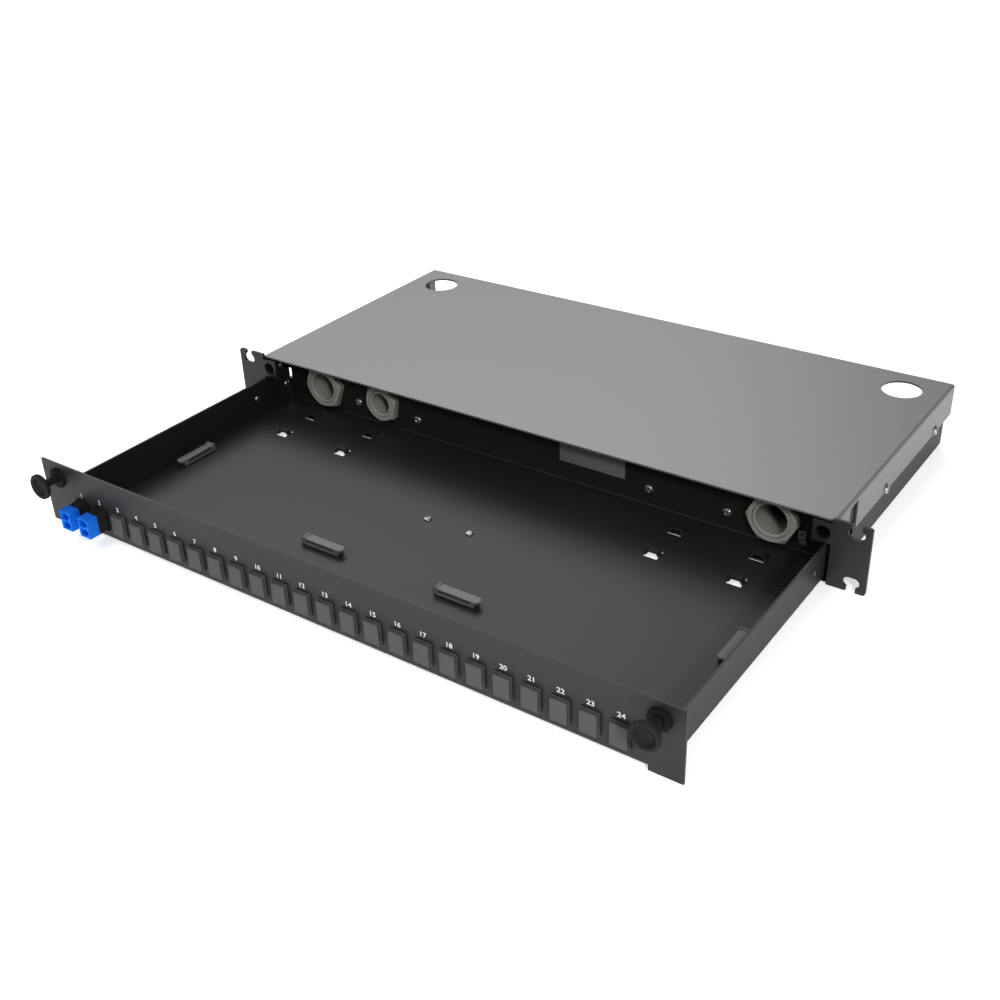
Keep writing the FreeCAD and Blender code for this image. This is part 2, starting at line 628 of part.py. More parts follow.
def earth_tab():
    """Upright push-on blade that steps forward from its foot on the rear wall."""
    foot_y = REAR_WALL_INNER - EARTH_TAB_SHEET / 2
    blade_y = foot_y - EARTH_TAB_STEP
    foot_top = EARTH_TAB_BOTTOM + EARTH_TAB_FOOT
    blade_bottom = foot_top + EARTH_TAB_STEP / 2
    outline = [(foot_y, EARTH_TAB_BOTTOM), (foot_y, foot_top), (blade_y, blade_bottom),
               (blade_y, blade_bottom + EARTH_TAB_BLADE)]
    left = EARTH_TAB_X - EARTH_TAB_WIDTH / 2
    tab = folded_along_x(outline, left, left + EARTH_TAB_WIDTH, EARTH_TAB_SHEET)
    start = V(EARTH_TAB_X, blade_y - EARTH_TAB_SHEET, blade_bottom + EARTH_TAB_BLADE * 0.6)
    return tab.cut(rod(EARTH_TAB_HOLE, 2 * EARTH_TAB_SHEET, start, Y_AXIS))


def blank_plug(number):
    """Hollow blanking plug with a soft-edged face and a barb on each side."""
    x = port_x(number)
    body_width = PORT_OPENING_WIDTH - 2 * PORT_FIT
    body_height = PORT_OPENING_HEIGHT - 2 * PORT_FIT
    low = PORT_CENTRE_HEIGHT - PLUG_FACE_HEIGHT / 2
    face = block(x - PLUG_FACE_WIDTH / 2, x + PLUG_FACE_WIDTH / 2, PANEL_FACE - PLUG_FACE_THICKNESS,
                 PANEL_FACE, low, low + PLUG_FACE_HEIGHT)
    front_edges = [edge for edge in face.Edges
                   if edge.CenterOfMass.y < PANEL_FACE - PLUG_FACE_THICKNESS + 0.1]
    face = face.makeChamfer(PLUG_EDGE, front_edges)
    body_low = PORT_CENTRE_HEIGHT - body_height / 2
    body = block(x - body_width / 2, x + body_width / 2, PANEL_FACE, PANEL_FACE + PLUG_BODY_LENGTH,
                 body_low, body_low + body_height)
    hollow = block(x - body_width / 2 + PLUG_WALL, x + body_width / 2 - PLUG_WALL,
                   PANEL_FACE, PANEL_FACE + PLUG_BODY_LENGTH + 1,
                   body_low + PLUG_WALL, body_low + body_height - PLUG_WALL)
    pieces = [face, body]
    for side in (-1, 1):
        root = body_width / 2 * side
        points = [V(x + root, PANEL_BACK + PORT_FIT, PORT_CENTRE_HEIGHT - PLUG_BARB * 2),
                  V(x + root + side * PLUG_BARB, PANEL_BACK + PORT_FIT, PORT_CENTRE_HEIGHT - PLUG_BARB * 2),
                  V(x + root, PANEL_FACE + PLUG_BODY_LENGTH, PORT_CENTRE_HEIGHT - PLUG_BARB * 2)]
        pieces.append(cross_section(points, V(0, 0, PLUG_BARB * 4)))
    return joined(pieces).cut(hollow)


def socket_heights():
    """Heights of the two stacked sockets of an adapter."""
    return (PORT_CENTRE_HEIGHT - SOCKET_SPACING / 2, PORT_CENTRE_HEIGHT + SOCKET_SPACING / 2)


def adapter_web_middle():
    """Middle plane of the wall that holds the alignment sleeves."""
    return PANEL_FACE + (ADAPTER_REAR_LENGTH - ADAPTER_FRONT_LENGTH) / 2


def lc_adapter(number):
    """Duplex adapter with two stacked sockets at each end and its sleeve holders."""
    x = port_x(number)
    width = PORT_OPENING_WIDTH - 2 * PORT_FIT
    height = PORT_OPENING_HEIGHT - 2 * PORT_FIT
    y0 = PANEL_FACE - ADAPTER_FRONT_LENGTH
    y1 = PANEL_FACE + ADAPTER_REAR_LENGTH
    low = PORT_CENTRE_HEIGHT - height / 2
    collar_low = PORT_CENTRE_HEIGHT - ADAPTER_COLLAR_HEIGHT / 2
    body = block(x - width / 2, x + width / 2, y0, y1, low, low + height)
    collar = block(x - ADAPTER_COLLAR_WIDTH / 2, x + ADAPTER_COLLAR_WIDTH / 2,
                   PANEL_FACE - ADAPTER_COLLAR_THICKNESS, PANEL_FACE,
                   collar_low, collar_low + ADAPTER_COLLAR_HEIGHT)
    adapter = joined([body, collar])
    web = adapter_web_middle()
    left = x - SOCKET_WIDTH / 2 - SOCKET_KEY_WIDTH / 2
    for z in socket_heights():
        for start, end in ((y0 - 1, web - ADAPTER_WEB / 2), (web + ADAPTER_WEB / 2, y1 + 1)):
            adapter = adapter.cut(block(left, left + SOCKET_WIDTH, start, end,
                                        z - SOCKET_HEIGHT / 2, z + SOCKET_HEIGHT / 2))
            adapter = adapter.cut(block(left + SOCKET_WIDTH, left + SOCKET_WIDTH + SOCKET_KEY_WIDTH,
                                        start, end, z - SOCKET_KEY_HEIGHT / 2, z + SOCKET_KEY_HEIGHT / 2))
        axis_start = V(left + SOCKET_WIDTH / 2, web - SLEEVE_LENGTH / 2, z)
        adapter = adapter.fuse(rod(SLEEVE_HOLDER_OUTER, SLEEVE_LENGTH, axis_start, Y_AXIS))
        adapter = adapter.cut(rod(SLEEVE_OUTER + 2 * SLEEVE_FIT, SLEEVE_LENGTH, axis_start, Y_AXIS))
    return adapter.removeSplitter()


def alignment_sleeves():
    """Ceramic sleeves inside both adapters."""
    sleeves = []
    for number in ADAPTER_PORTS:
        x = port_x(number) - SOCKET_KEY_WIDTH / 2
        for z in socket_heights():
            start = V(x, adapter_web_middle() - SLEEVE_LENGTH / 2, z)
            sleeves.append(tube(SLEEVE_OUTER, SLEEVE_BORE, SLEEVE_LENGTH, start, Y_AXIS))
    return Part.makeCompound(sleeves)


def adapter_clips():
    """Spring saddle over each adapter behind the panel, with legs that flare out."""
    clips = []
    for number in ADAPTER_PORTS:
        x = port_x(number)
        half_width = PORT_OPENING_WIDTH / 2 - PORT_FIT + CLIP_GAP + CLIP_SHEET / 2
        top = PORT_CENTRE_HEIGHT + PORT_OPENING_HEIGHT / 2 - PORT_FIT + CLIP_GAP + CLIP_SHEET / 2
        low = top - CLIP_HEIGHT
        outline = [(x - half_width - CLIP_SPREAD, low), (x - half_width, low + CLIP_HEIGHT / 2),
                   (x - half_width, top), (x + half_width, top),
                   (x + half_width, low + CLIP_HEIGHT / 2), (x + half_width + CLIP_SPREAD, low)]
        clips.append(folded_along_y(outline, PANEL_BACK, PANEL_BACK + CLIP_LENGTH, CLIP_SHEET))
    return Part.makeCompound(clips)


def latch_grommet(side):
    """Flanged sleeve through the panel whose end is slit so that it can spread."""
    centre = V(side * LATCH_X, PANEL_FACE, LATCH_HEIGHT)
    face = centre - Y_AXIS * GROMMET_FLANGE_THICKNESS
    flange = rod(GROMMET_FLANGE_DIAMETER, GROMMET_FLANGE_THICKNESS, face, Y_AXIS)
    front_rim = [edge for edge in flange.Edges if edge.Closed and edge.CenterOfMass.y < PANEL_FACE - 0.1]
    flange = flange.makeChamfer(GROMMET_FLANGE_THICKNESS * 0.5, front_rim)
    body = rod(GROMMET_BODY_DIAMETER, GROMMET_BODY_LENGTH, centre, Y_AXIS)
    bore_length = GROMMET_BODY_LENGTH + GROMMET_FLANGE_THICKNESS
    grommet = joined([flange, body]).cut(rod(stem_bore(), bore_length, face, Y_AXIS))
    half = GROMMET_SLIT / 2
    slit_start = PANEL_BACK + 1
    end = PANEL_FACE + GROMMET_BODY_LENGTH + 1
    reach = GROMMET_BODY_DIAMETER
    for slit in (block(centre.x - half, centre.x + half, slit_start, end, centre.z - reach, centre.z + reach),
                 block(centre.x - reach, centre.x + reach, slit_start, end, centre.z - half, centre.z + half)):
        grommet = grommet.cut(slit)
    return grommet


def stem_bore():
    """Bore of the latch grommet."""
    return PLUNGER_STEM_DIAMETER + 2 * PLUNGER_RUNNING_GAP


def latch_plunger(side):
    """Dished knob on a ribbed stem, turned as one profile about the latch axis."""
    radius = PLUNGER_STEM_DIAMETER / 2
    root = radius - PLUNGER_RIB_DEPTH
    head = PLUNGER_HEAD_DIAMETER / 2
    gap = LATCH_STROKE + LATCH_STROKE_SPARE
    head_back = -GROMMET_FLANGE_THICKNESS - gap
    head_front = head_back - PLUNGER_HEAD_THICKNESS
    tip = PLUNGER_INSERTION
    bevel = PLUNGER_HEAD_THICKNESS * 0.25
    profile = [(0, head_front + PLUNGER_DISH_DEPTH), (head * 0.5, head_front + PLUNGER_DISH_DEPTH * 0.75),
               (head - bevel, head_front), (head, head_front + bevel), (head, head_back),
               (radius, head_back)]
    rib_start = head_back + PLUNGER_RIB_PITCH / 2
    rib_count = int(gap / PLUNGER_RIB_PITCH)
    for index in range(rib_count):
        y = rib_start + index * PLUNGER_RIB_PITCH
        profile += [(radius, y), (root, y), (root, y + PLUNGER_RIB_PITCH / 2),
                    (radius, y + PLUNGER_RIB_PITCH / 2)]
    profile += [(radius, tip - PLUNGER_TIP_CONE), (radius * 0.5, tip), (0, tip)]
    centre = V(side * LATCH_X, PANEL_FACE, LATCH_HEIGHT)
    points = [centre + V(r, y, 0) for r, y in profile]
    face = Part.Face(Part.makePolygon(points + [points[0]]))
    return face.revolve(centre, Y_AXIS, 360)


def gland_body(x, thread, bore, flats):
    """Threaded tube with a hexagonal collar behind the rear wall and a sleeve for the cap."""
    inside = V(x, REAR_WALL_INNER - LOCK_NUT_THICKNESS, GLAND_HEIGHT)
    collar = hexagon(flats, GLAND_COLLAR_THICKNESS, V(x, TRAY_END, GLAND_HEIGHT), 0)
    length = LOCK_NUT_THICKNESS + TRAY_SHEET + GLAND_COLLAR_THICKNESS + GLAND_SLEEVE_LENGTH
    stem = rod(thread, length, inside, Y_AXIS)
    return joined([collar, stem]).cut(rod(bore, length, inside, Y_AXIS))


def gland_lock_nut(x, thread, flats, turn):
    """Hexagonal nut against the rear wall's inner face."""
    start = V(x, REAR_WALL_INNER - LOCK_NUT_THICKNESS, GLAND_HEIGHT)
    nut = hexagon(flats, LOCK_NUT_THICKNESS, start, turn)
    return nut.cut(rod(thread + GLAND_FIT, LOCK_NUT_THICKNESS, start, Y_AXIS))


def gland_cap_nut(x, thread, bore, flats):
    """Hexagonal cap with a tapered nose that closes the seal round the cable."""
    start = V(x, TRAY_END + GLAND_COLLAR_THICKNESS, GLAND_HEIGHT)
    hexed = hexagon(flats, GLAND_CAP_LENGTH * 0.6, start, 0)
    shoulder = GLAND_CAP_LENGTH * 0.8
    nose = flats * GLAND_NOSE_RATIO
    barrel = rod(nose, shoulder, start, Y_AXIS)
    taper = Part.makeCone(nose / 2, nose / 2 * GLAND_NOSE_TAPER, GLAND_CAP_LENGTH - shoulder,
                          start + Y_AXIS * shoulder, Y_AXIS)
    cap = joined([hexed, barrel, taper])
    cavity = GLAND_CAP_LENGTH - GLAND_CAP_WALL
    cap = cap.cut(rod(thread + GLAND_FIT, cavity, start, Y_AXIS))
    return cap.cut(rod(bore - 2 * GLAND_SEAL_WALL, GLAND_CAP_LENGTH, start, Y_AXIS))


def gland_seal(x, thread, bore):
    """Rubber ring between the gland's sleeve and its cap."""
    start = V(x, TRAY_END + GLAND_COLLAR_THICKNESS + GLAND_SLEEVE_LENGTH, GLAND_HEIGHT)
    length = GLAND_CAP_LENGTH - GLAND_CAP_WALL - GLAND_SLEEVE_LENGTH
    return tube(thread - GLAND_FIT, bore - 2 * GLAND_SEAL_WALL, length, start, Y_AXIS)


def saddle_places():
    """Name, middle of the underside and turn about +Z of each cable saddle."""
    front_y = PANEL_FACE + FRONT_SADDLE_SETBACK
    side_y = PANEL_FACE + SIDE_SADDLE_SETBACK
    return (("front_left", V(-FRONT_SADDLE_X, front_y, TRAY_FLOOR), 0),
            ("front_right", V(FRONT_SADDLE_X, front_y, TRAY_FLOOR), 0),
            ("side_left", V(-SIDE_SADDLE_X, side_y, TRAY_FLOOR), -90),
            ("side_right", V(SIDE_SADDLE_X, side_y, TRAY_FLOOR), -90))


def placed(shape, place, turn):
    """Saddle piece moved from its own frame to its place on the tray."""
    shape.rotate(V(0, 0, 0), Z_AXIS, turn)
    shape.translate(place)
    return shape


def saddle_pin_place():
    """Hinge pin's distance from the saddle's middle, and its height."""
    return SADDLE_LENGTH / 2 - SADDLE_POST / 2, SADDLE_BASE_THICKNESS + SADDLE_GAP + SADDLE_ARM_THICKNESS / 2


def saddle_base():
    """Foot with a hinge fork at one end and a catch post at the other."""
    half = SADDLE_LENGTH / 2
    pin_x, pin_z = saddle_pin_place()
    foot = block(-half, half, -SADDLE_WIDTH / 2, SADDLE_WIDTH / 2, 0, SADDLE_BASE_THICKNESS)
    pieces = [foot]
    for side in (-1, 1):
        inner, outer = sorted((side * (SADDLE_WIDTH / 2 - SADDLE_EAR_THICKNESS), side * SADDLE_WIDTH / 2))
        cheek = block(-half, -half + SADDLE_POST, inner, outer, 0, pin_z)
        crown = rod(SADDLE_POST, SADDLE_EAR_THICKNESS, V(-pin_x, inner, pin_z), Y_AXIS)
        pieces += [cheek, crown]
    pin = rod(SADDLE_PIN_DIAMETER, SADDLE_WIDTH, V(-pin_x, -SADDLE_WIDTH / 2, pin_z), Y_AXIS)
    post_top = SADDLE_BASE_THICKNESS + SADDLE_GAP - SADDLE_PIN_GAP
    post = block(half - SADDLE_POST, half, -SADDLE_WIDTH / 2, SADDLE_WIDTH / 2, 0, post_top)
    return joined(pieces + [pin, post])


def saddle_arm():
    """Flat bar with a hinge eye at one end and a lifting tab past the catch post."""
    half = SADDLE_LENGTH / 2
    pin_x, pin_z = saddle_pin_place()
    eye_half = SADDLE_WIDTH / 2 - SADDLE_EAR_THICKNESS - SADDLE_EAR_GAP
    low = SADDLE_BASE_THICKNESS + SADDLE_GAP
    neck = block(-pin_x, -half + SADDLE_POST + 1, -eye_half, eye_half, low, low + SADDLE_ARM_THICKNESS)
    bar = block(-half + SADDLE_POST + SADDLE_EAR_GAP, half + SADDLE_TAB_LENGTH - SADDLE_WIDTH / 2,
                -SADDLE_WIDTH / 2, SADDLE_WIDTH / 2, low, low + SADDLE_ARM_THICKNESS)
    tab = rod(SADDLE_WIDTH, SADDLE_ARM_THICKNESS, V(half + SADDLE_TAB_LENGTH - SADDLE_WIDTH / 2, 0, low),
              Z_AXIS)
    eye = rod(SADDLE_POST - 2 * SADDLE_EAR_GAP, 2 * eye_half, V(-pin_x, -eye_half, pin_z), Y_AXIS)
    hook = block(half + SADDLE_EAR_GAP, half + SADDLE_EAR_GAP + 1, -SADDLE_WIDTH / 4, SADDLE_WIDTH / 4,
                 low - SADDLE_ARM_THICKNESS, low)
    bore = rod(SADDLE_PIN_DIAMETER + 2 * SADDLE_PIN_GAP, SADDLE_WIDTH, V(-pin_x, -SADDLE_WIDTH / 2, pin_z),
               Y_AXIS)
    return joined([neck, bar, tab, eye, hook]).cut(bore)


def write(name, shape):
    """Store one piece as a STEP file named after its node."""
    shape.exportStep(os.path.join("parts", name + ".step"))


def write_housing():
    """Pieces that stay in the rack."""
    ear = right_rack_ear()
    guide = right_slide_guide()
    write("top_cover", top_cover())
    write("base_pan", base_pan())
    write("right_rack_ear", ear)
    write("left_rack_ear", mirrored(ear))
    write("right_slide_guide", guide)
    write("left_slide_guide", mirrored(guide))
    write("housing_screws", housing_screws())


def write_tray():
    """The tray and what is fixed to it, apart from glands, latches and saddles."""
    write("sliding_tray", sliding_tray())
    write("tie_off_screws", tie_off_screws())
    write("splice_tray_screws", splice_tray_screws())
    write("side_wall_rivets", side_wall_rivets())
    write("earth_tab", earth_tab())
    for number in range(1, PORT_COUNT + 1):
        if number in ADAPTER_PORTS:
            write("lc_adapter_%d" % number, lc_adapter(number))
        else:
            write("blank_plug_%02d" % number, blank_plug(number))
    write("alignment_sleeves", alignment_sleeves())
    write("adapter_clips", adapter_clips())


def write_glands():
    """Three cable glands in the rear wall."""
    large = (LARGE_THREAD, LARGE_BORE, LARGE_FLATS)
    small = (SMALL_THREAD, SMALL_BORE, SMALL_FLATS)
    seals = []
    for name, x, (thread, bore, flats), turn in (
            ("gland_outer_left", -OUTER_ENTRY_X, large, LARGE_NUT_TURN),
            ("gland_inner_left", -INNER_ENTRY_X, small, SMALL_NUT_TURN),
            ("gland_right", OUTER_ENTRY_X, large, RIGHT_NUT_TURN)):
        write(name + "_body", gland_body(x, thread, bore, flats))
        write(name + "_lock_nut", gland_lock_nut(x, thread, flats, turn))
        write(name + "_cap_nut", gland_cap_nut(x, thread, bore, flats))
        seals.append(gland_seal(x, thread, bore))
    write("gland_seals", Part.makeCompound(seals))


def write_latches_and_saddles():
    """Panel latches and cable saddles."""
    for name, side in (("left", -1), ("right", 1)):
        write(name + "_latch_grommet", latch_grommet(side))
        write(name + "_latch_plunger", latch_plunger(side))
    for name, place, turn in saddle_places():
        write("saddle_base_" + name, placed(saddle_base(), place, turn))
        write("saddle_arm_" + name, placed(saddle_arm(), place, turn))


os.makedirs("parts", exist_ok=True)
write_housing()
write_tray()
write_glands()
write_latches_and_saddles()
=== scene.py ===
"""Dressed model of a sliding fibre patch panel for a 19 inch rack."""

import json
import math

import bmesh
import bpy
from bpy.props import FloatProperty, FloatVectorProperty, IntProperty, PointerProperty
from mathutils import Matrix, Vector


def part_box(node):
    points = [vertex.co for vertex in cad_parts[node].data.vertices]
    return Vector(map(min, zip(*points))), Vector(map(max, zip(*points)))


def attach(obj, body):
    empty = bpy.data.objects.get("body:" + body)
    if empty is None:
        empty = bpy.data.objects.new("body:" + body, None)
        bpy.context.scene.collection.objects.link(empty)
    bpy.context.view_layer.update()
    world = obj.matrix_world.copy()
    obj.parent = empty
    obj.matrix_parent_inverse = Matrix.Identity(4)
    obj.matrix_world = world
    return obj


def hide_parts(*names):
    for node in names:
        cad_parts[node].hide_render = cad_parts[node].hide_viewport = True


bl_info = {
    "name": "Fibre Patch Panel",
    "version": (1, 0, 0),
    "blender": (4, 5, 0),
    "location": "View3D > Sidebar > Patch Panel",
    "description": "Dresses the packed sliding patch panel, piece by piece",
    "category": "Object",
}

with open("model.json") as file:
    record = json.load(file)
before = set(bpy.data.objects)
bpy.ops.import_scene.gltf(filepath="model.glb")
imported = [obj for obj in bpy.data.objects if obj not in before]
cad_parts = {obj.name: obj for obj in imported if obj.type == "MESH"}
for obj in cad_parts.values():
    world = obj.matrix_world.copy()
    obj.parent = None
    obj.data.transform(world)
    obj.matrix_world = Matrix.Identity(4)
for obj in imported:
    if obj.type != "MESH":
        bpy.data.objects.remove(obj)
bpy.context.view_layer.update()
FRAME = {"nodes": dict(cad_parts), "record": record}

MM = 0.001
WELD = 0.001 * MM

LATCH_SIDES = ("left", "right")
SADDLES = ("front_left", "front_right", "side_left", "side_right")
ADAPTERS = ("lc_adapter_1", "lc_adapter_2")
PLUGS = sorted(node for node in FRAME["nodes"] if node.startswith("blank_plug_"))

COVER_SHEET = 1.2 * MM
TRAY_SHEET = 1.5 * MM


def node_middle(node):
    """Middle of a node's box."""
    low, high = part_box(node)
    return (high + low) / 2


def panel_face():
    """Front face of the tray's panel, along Y."""
    low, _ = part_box("sliding_tray")
    return low.y


# Sizes and colours a user may change


class PanelSizes(bpy.types.PropertyGroup):
    """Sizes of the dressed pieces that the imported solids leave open."""

    plug_edge: FloatProperty(
        name="Plug Edge", description="Rounding of a blanking plug's front pad",
        default=0.6 * MM, unit="LENGTH")
    plug_flange: FloatProperty(
        name="Plug Flange", description="Thickness of a blanking plug's flange",
        default=1.0 * MM, unit="LENGTH")
    plug_pad_inset: FloatProperty(
        name="Plug Pad Inset", description="Step from a plug's flange to its front pad",
        default=0.45 * MM, unit="LENGTH")
    digit_height: FloatProperty(
        name="Digit Height", description="Height of the printed opening numbers",
        default=3.2 * MM, unit="LENGTH")
    digit_level: FloatProperty(
        name="Digit Level", description="Height of the numbers' middle above the underside",
        default=26.5 * MM, unit="LENGTH")
    print_thickness: FloatProperty(
        name="Print Thickness", description="Thickness of printed digits and of the label",
        default=0.06 * MM, unit="LENGTH")
    label_width: FloatProperty(
        name="Label Width", description="Width of the blank label on the rear wall",
        default=49.0 * MM, unit="LENGTH")
    label_height: FloatProperty(
        name="Label Height", description="Height of the blank label on the rear wall",
        default=19.0 * MM, unit="LENGTH")
    # Length of an adapter's blue front end; the body behind it is painted black as painted shade,
    # though the real adapter is blue all over
    adapter_nose: FloatProperty(
        name="Adapter Nose", description="Length of an adapter's coloured front end",
        default=7.5 * MM, unit="LENGTH")
    segments: IntProperty(
        name="Segments", description="Steps round a knob or grommet", default=72, min=12)


class PanelColours(bpy.types.PropertyGroup):
    """Colours of the finishes."""

    coat: FloatVectorProperty(
        name="Powder Coat", description="Black powder coat of all sheet metal",
        default=(0.0035, 0.0035, 0.0034), subtype="COLOR")
    plug: FloatVectorProperty(
        name="Plug Plastic", description="Plastic of the blanking plugs",
        default=(0.095, 0.095, 0.095), subtype="COLOR")
    adapter: FloatVectorProperty(
        name="Adapter Plastic", description="Plastic of the duplex adapters",
        default=(0.034, 0.33, 0.82), subtype="COLOR")
    gland: FloatVectorProperty(
        name="Gland Plastic", description="Plastic of the cable glands",
        default=(0.56, 0.545, 0.50), subtype="COLOR")
    knob: FloatVectorProperty(
        name="Knob Plastic", description="Plastic of the latches and saddles",
        default=(0.009, 0.009, 0.009), subtype="COLOR")
    zinc: FloatVectorProperty(
        name="Zinc", description="Plating of screws, rivets and guides",
        default=(0.55, 0.57, 0.60), subtype="COLOR")
    bright: FloatVectorProperty(
        name="Bright Metal", description="Bare metal of the earth tab and clips",
        default=(0.92, 0.92, 0.90), subtype="COLOR")
    ceramic: FloatVectorProperty(
        name="Ceramic", description="Alignment sleeves inside the adapters",
        default=(0.80, 0.80, 0.77), subtype="COLOR")
    rubber: FloatVectorProperty(
        name="Rubber", description="Seals inside the glands",
        default=(0.02, 0.02, 0.02), subtype="COLOR")
    print_ink: FloatVectorProperty(
        name="Print", description="Ink of the opening numbers",
        default=(0.80, 0.80, 0.78), subtype="COLOR")
    label: FloatVectorProperty(
        name="Label", description="Blank label on the rear wall",
        default=(0.37, 0.37, 0.365), subtype="COLOR")
    floor: FloatVectorProperty(
        name="Floor", description="Floor under the panel",
        default=(0.86, 0.86, 0.86), subtype="COLOR")


def sizes():
    """Current sizes."""
    return bpy.context.scene.patch_panel_sizes


def colours():
    """Current colours."""
    return bpy.context.scene.patch_panel_colours


# Materials


def node_material(name):
    """Empty node material with its Principled shader and object coordinates."""
    material = bpy.data.materials.new(name)
    material.use_nodes = True
    tree = material.node_tree
    shader = tree.nodes["Principled BSDF"]
    place = tree.nodes.new("ShaderNodeTexCoord")
    return material, tree, shader, place.outputs["Object"]


def noise(tree, place, scale, detail=2.0, rough=0.5):
    """Noise pattern at a scale counted per metre."""
    pattern = tree.nodes.new("ShaderNodeTexNoise")
    pattern.inputs["Scale"].default_value = scale
    pattern.inputs["Detail"].default_value = detail
    pattern.inputs["Roughness"].default_value = rough
    tree.links.new(place, pattern.inputs["Vector"])
    return pattern.outputs["Fac"]


# Noise lies mostly between these values
NOISE_LOW, NOISE_HIGH = 0.3, 0.7


def spread(tree, pattern, low, high):
    """Pattern mapped to a range."""
    step = tree.nodes.new("ShaderNodeMapRange")
    step.inputs["From Min"].default_value = NOISE_LOW
    step.inputs["From Max"].default_value = NOISE_HIGH
    step.inputs["To Min"].default_value = low
    step.inputs["To Max"].default_value = high
    tree.links.new(pattern, step.inputs["Value"])
    return step.outputs["Result"]


def tint(tree, pattern, colour, low, high):
    """Colour that a pattern darkens and lightens."""
    ramp = tree.nodes.new("ShaderNodeValToRGB")
    dark, light = ramp.color_ramp.elements
    dark.position, light.position = NOISE_LOW, NOISE_HIGH
    dark.color = [c * low for c in colour] + [1]
    light.color = [min(c * high, 1) for c in colour] + [1]
    tree.links.new(pattern, ramp.inputs["Fac"])
    return ramp.outputs["Color"]


def bumped(tree, shader, pattern, strength, distance, edge=0.0):
    """Fine relief on the shader's normal, over softened edges where asked."""
    relief = tree.nodes.new("ShaderNodeBump")
    relief.inputs["Strength"].default_value = strength
    relief.inputs["Distance"].default_value = distance
    tree.links.new(pattern, relief.inputs["Height"])
    if edge:
        soft = tree.nodes.new("ShaderNodeBevel")
        soft.samples = 4
        soft.inputs["Radius"].default_value = edge
        tree.links.new(soft.outputs["Normal"], relief.inputs["Normal"])
    tree.links.new(relief.outputs["Normal"], shader.inputs["Normal"])


def powder_coat(name, colour):
    """Black powder coat: a fine orange-peel grain with slightly uneven gloss."""
    material, tree, shader, place = node_material(name)
    grain = noise(tree, place, scale=1500.0, detail=3.0, rough=0.6)
    patches = noise(tree, place, scale=14.0, detail=3.0)
    tree.links.new(tint(tree, grain, colour, low=0.6, high=1.6), shader.inputs["Base Color"])
    tree.links.new(spread(tree, patches, low=0.24, high=0.29), shader.inputs["Roughness"])
    shader.inputs["IOR"].default_value = 1.36
    bumped(tree, shader, grain, strength=0.35, distance=0.06 * MM, edge=0.3 * MM)
    return material


def moulded(name, colour, roughness, grain_scale=900.0):
    """Injection-moulded plastic with a fine spark-eroded grain."""
    material, tree, shader, place = node_material(name)
    grain = noise(tree, place, grain_scale, detail=3.0, rough=0.6)
    flow = noise(tree, place, scale=60.0)
    gloss = spread(tree, grain, low=roughness - 0.04, high=roughness + 0.05)
    tree.links.new(tint(tree, flow, colour, low=0.85, high=1.15), shader.inputs["Base Color"])
    tree.links.new(gloss, shader.inputs["Roughness"])
    bumped(tree, shader, grain, strength=0.25, distance=0.05 * MM, edge=0.2 * MM)
    return material


def plated(name, colour, roughness):
    """Plated steel with faint lines drawn along Y."""
    material, tree, shader, place = node_material(name)
    lines = tree.nodes.new("ShaderNodeMapping")
    lines.inputs["Scale"].default_value = (1.0, 0.05, 1.0)
    tree.links.new(place, lines.inputs["Vector"])
    drawn = noise(tree, lines.outputs["Vector"], scale=1800.0)
    clouds = noise(tree, place, scale=250.0, detail=3.0)
    gloss = spread(tree, drawn, low=roughness - 0.06, high=roughness + 0.08)
    tree.links.new(tint(tree, clouds, colour, low=0.8, high=1.15), shader.inputs["Base Color"])
    tree.links.new(gloss, shader.inputs["Roughness"])
    shader.inputs["Metallic"].default_value = 1.0
    bumped(tree, shader, drawn, strength=0.12, distance=0.04 * MM)
    return material


def rubbery(name, colour):
    """Soft black rubber with a bloom of lighter dust."""
    material, tree, shader, place = node_material(name)
    dust = noise(tree, place, scale=320.0, detail=4.0, rough=0.7)
    tree.links.new(tint(tree, dust, colour, low=0.7, high=1.8), shader.inputs["Base Color"])
    tree.links.new(spread(tree, dust, low=0.62, high=0.8), shader.inputs["Roughness"])
    bumped(tree, shader, dust, strength=0.2, distance=0.06 * MM)
    return material


def printed(name, colour):
    """Matt ink or label paper with slightly uneven cover."""
    material, tree, shader, place = node_material(name)
    cover = noise(tree, place, scale=1600.0)
    tree.links.new(tint(tree, cover, colour, low=0.88, high=1.05), shader.inputs["Base Color"])
    shader.inputs["Roughness"].default_value = 0.55
    bumped(tree, shader, cover, strength=0.1, distance=0.02 * MM)
    return material


def finish(name):
    """Finish by its name, made on first use."""
    if name in bpy.data.materials:
        return bpy.data.materials[name]
    shade = colours()
    makers = {
        "cover_coat": lambda: powder_coat(name, shade.coat),
        "body_coat": lambda: powder_coat(name, shade.coat),
        "guide_steel": lambda: plated(name, shade.zinc, roughness=0.42),
        "fastener_zinc": lambda: plated(name, shade.zinc, roughness=0.30),
        "bright_metal": lambda: plated(name, shade.bright, roughness=0.45),
        "ceramic": lambda: moulded(name, shade.ceramic, roughness=0.25),
        "seal_rubber": lambda: rubbery(name, shade.rubber),
        "gland_plastic": lambda: moulded(name, shade.gland, roughness=0.42),
        "plug_plastic": lambda: moulded(name, shade.plug, roughness=0.5, grain_scale=1500.0),
        "adapter_plastic": lambda: moulded(name, shade.adapter, roughness=0.35),
        "grommet_plastic": lambda: moulded(name, shade.knob, roughness=0.3),
        "knob_plastic": lambda: moulded(name, shade.knob, roughness=0.21),
        "saddle_plastic": lambda: moulded(name, shade.knob, roughness=0.3),
        "screen_print": lambda: printed(name, shade.print_ink),
        "label_paper": lambda: printed(name, shade.label),
    }
    return makers[name]()


def coat_node(node, slot):
    """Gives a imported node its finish."""
    mesh = FRAME["nodes"][node].data
    mesh.materials.clear()
    mesh.materials.append(finish(slot))


# Mesh makers


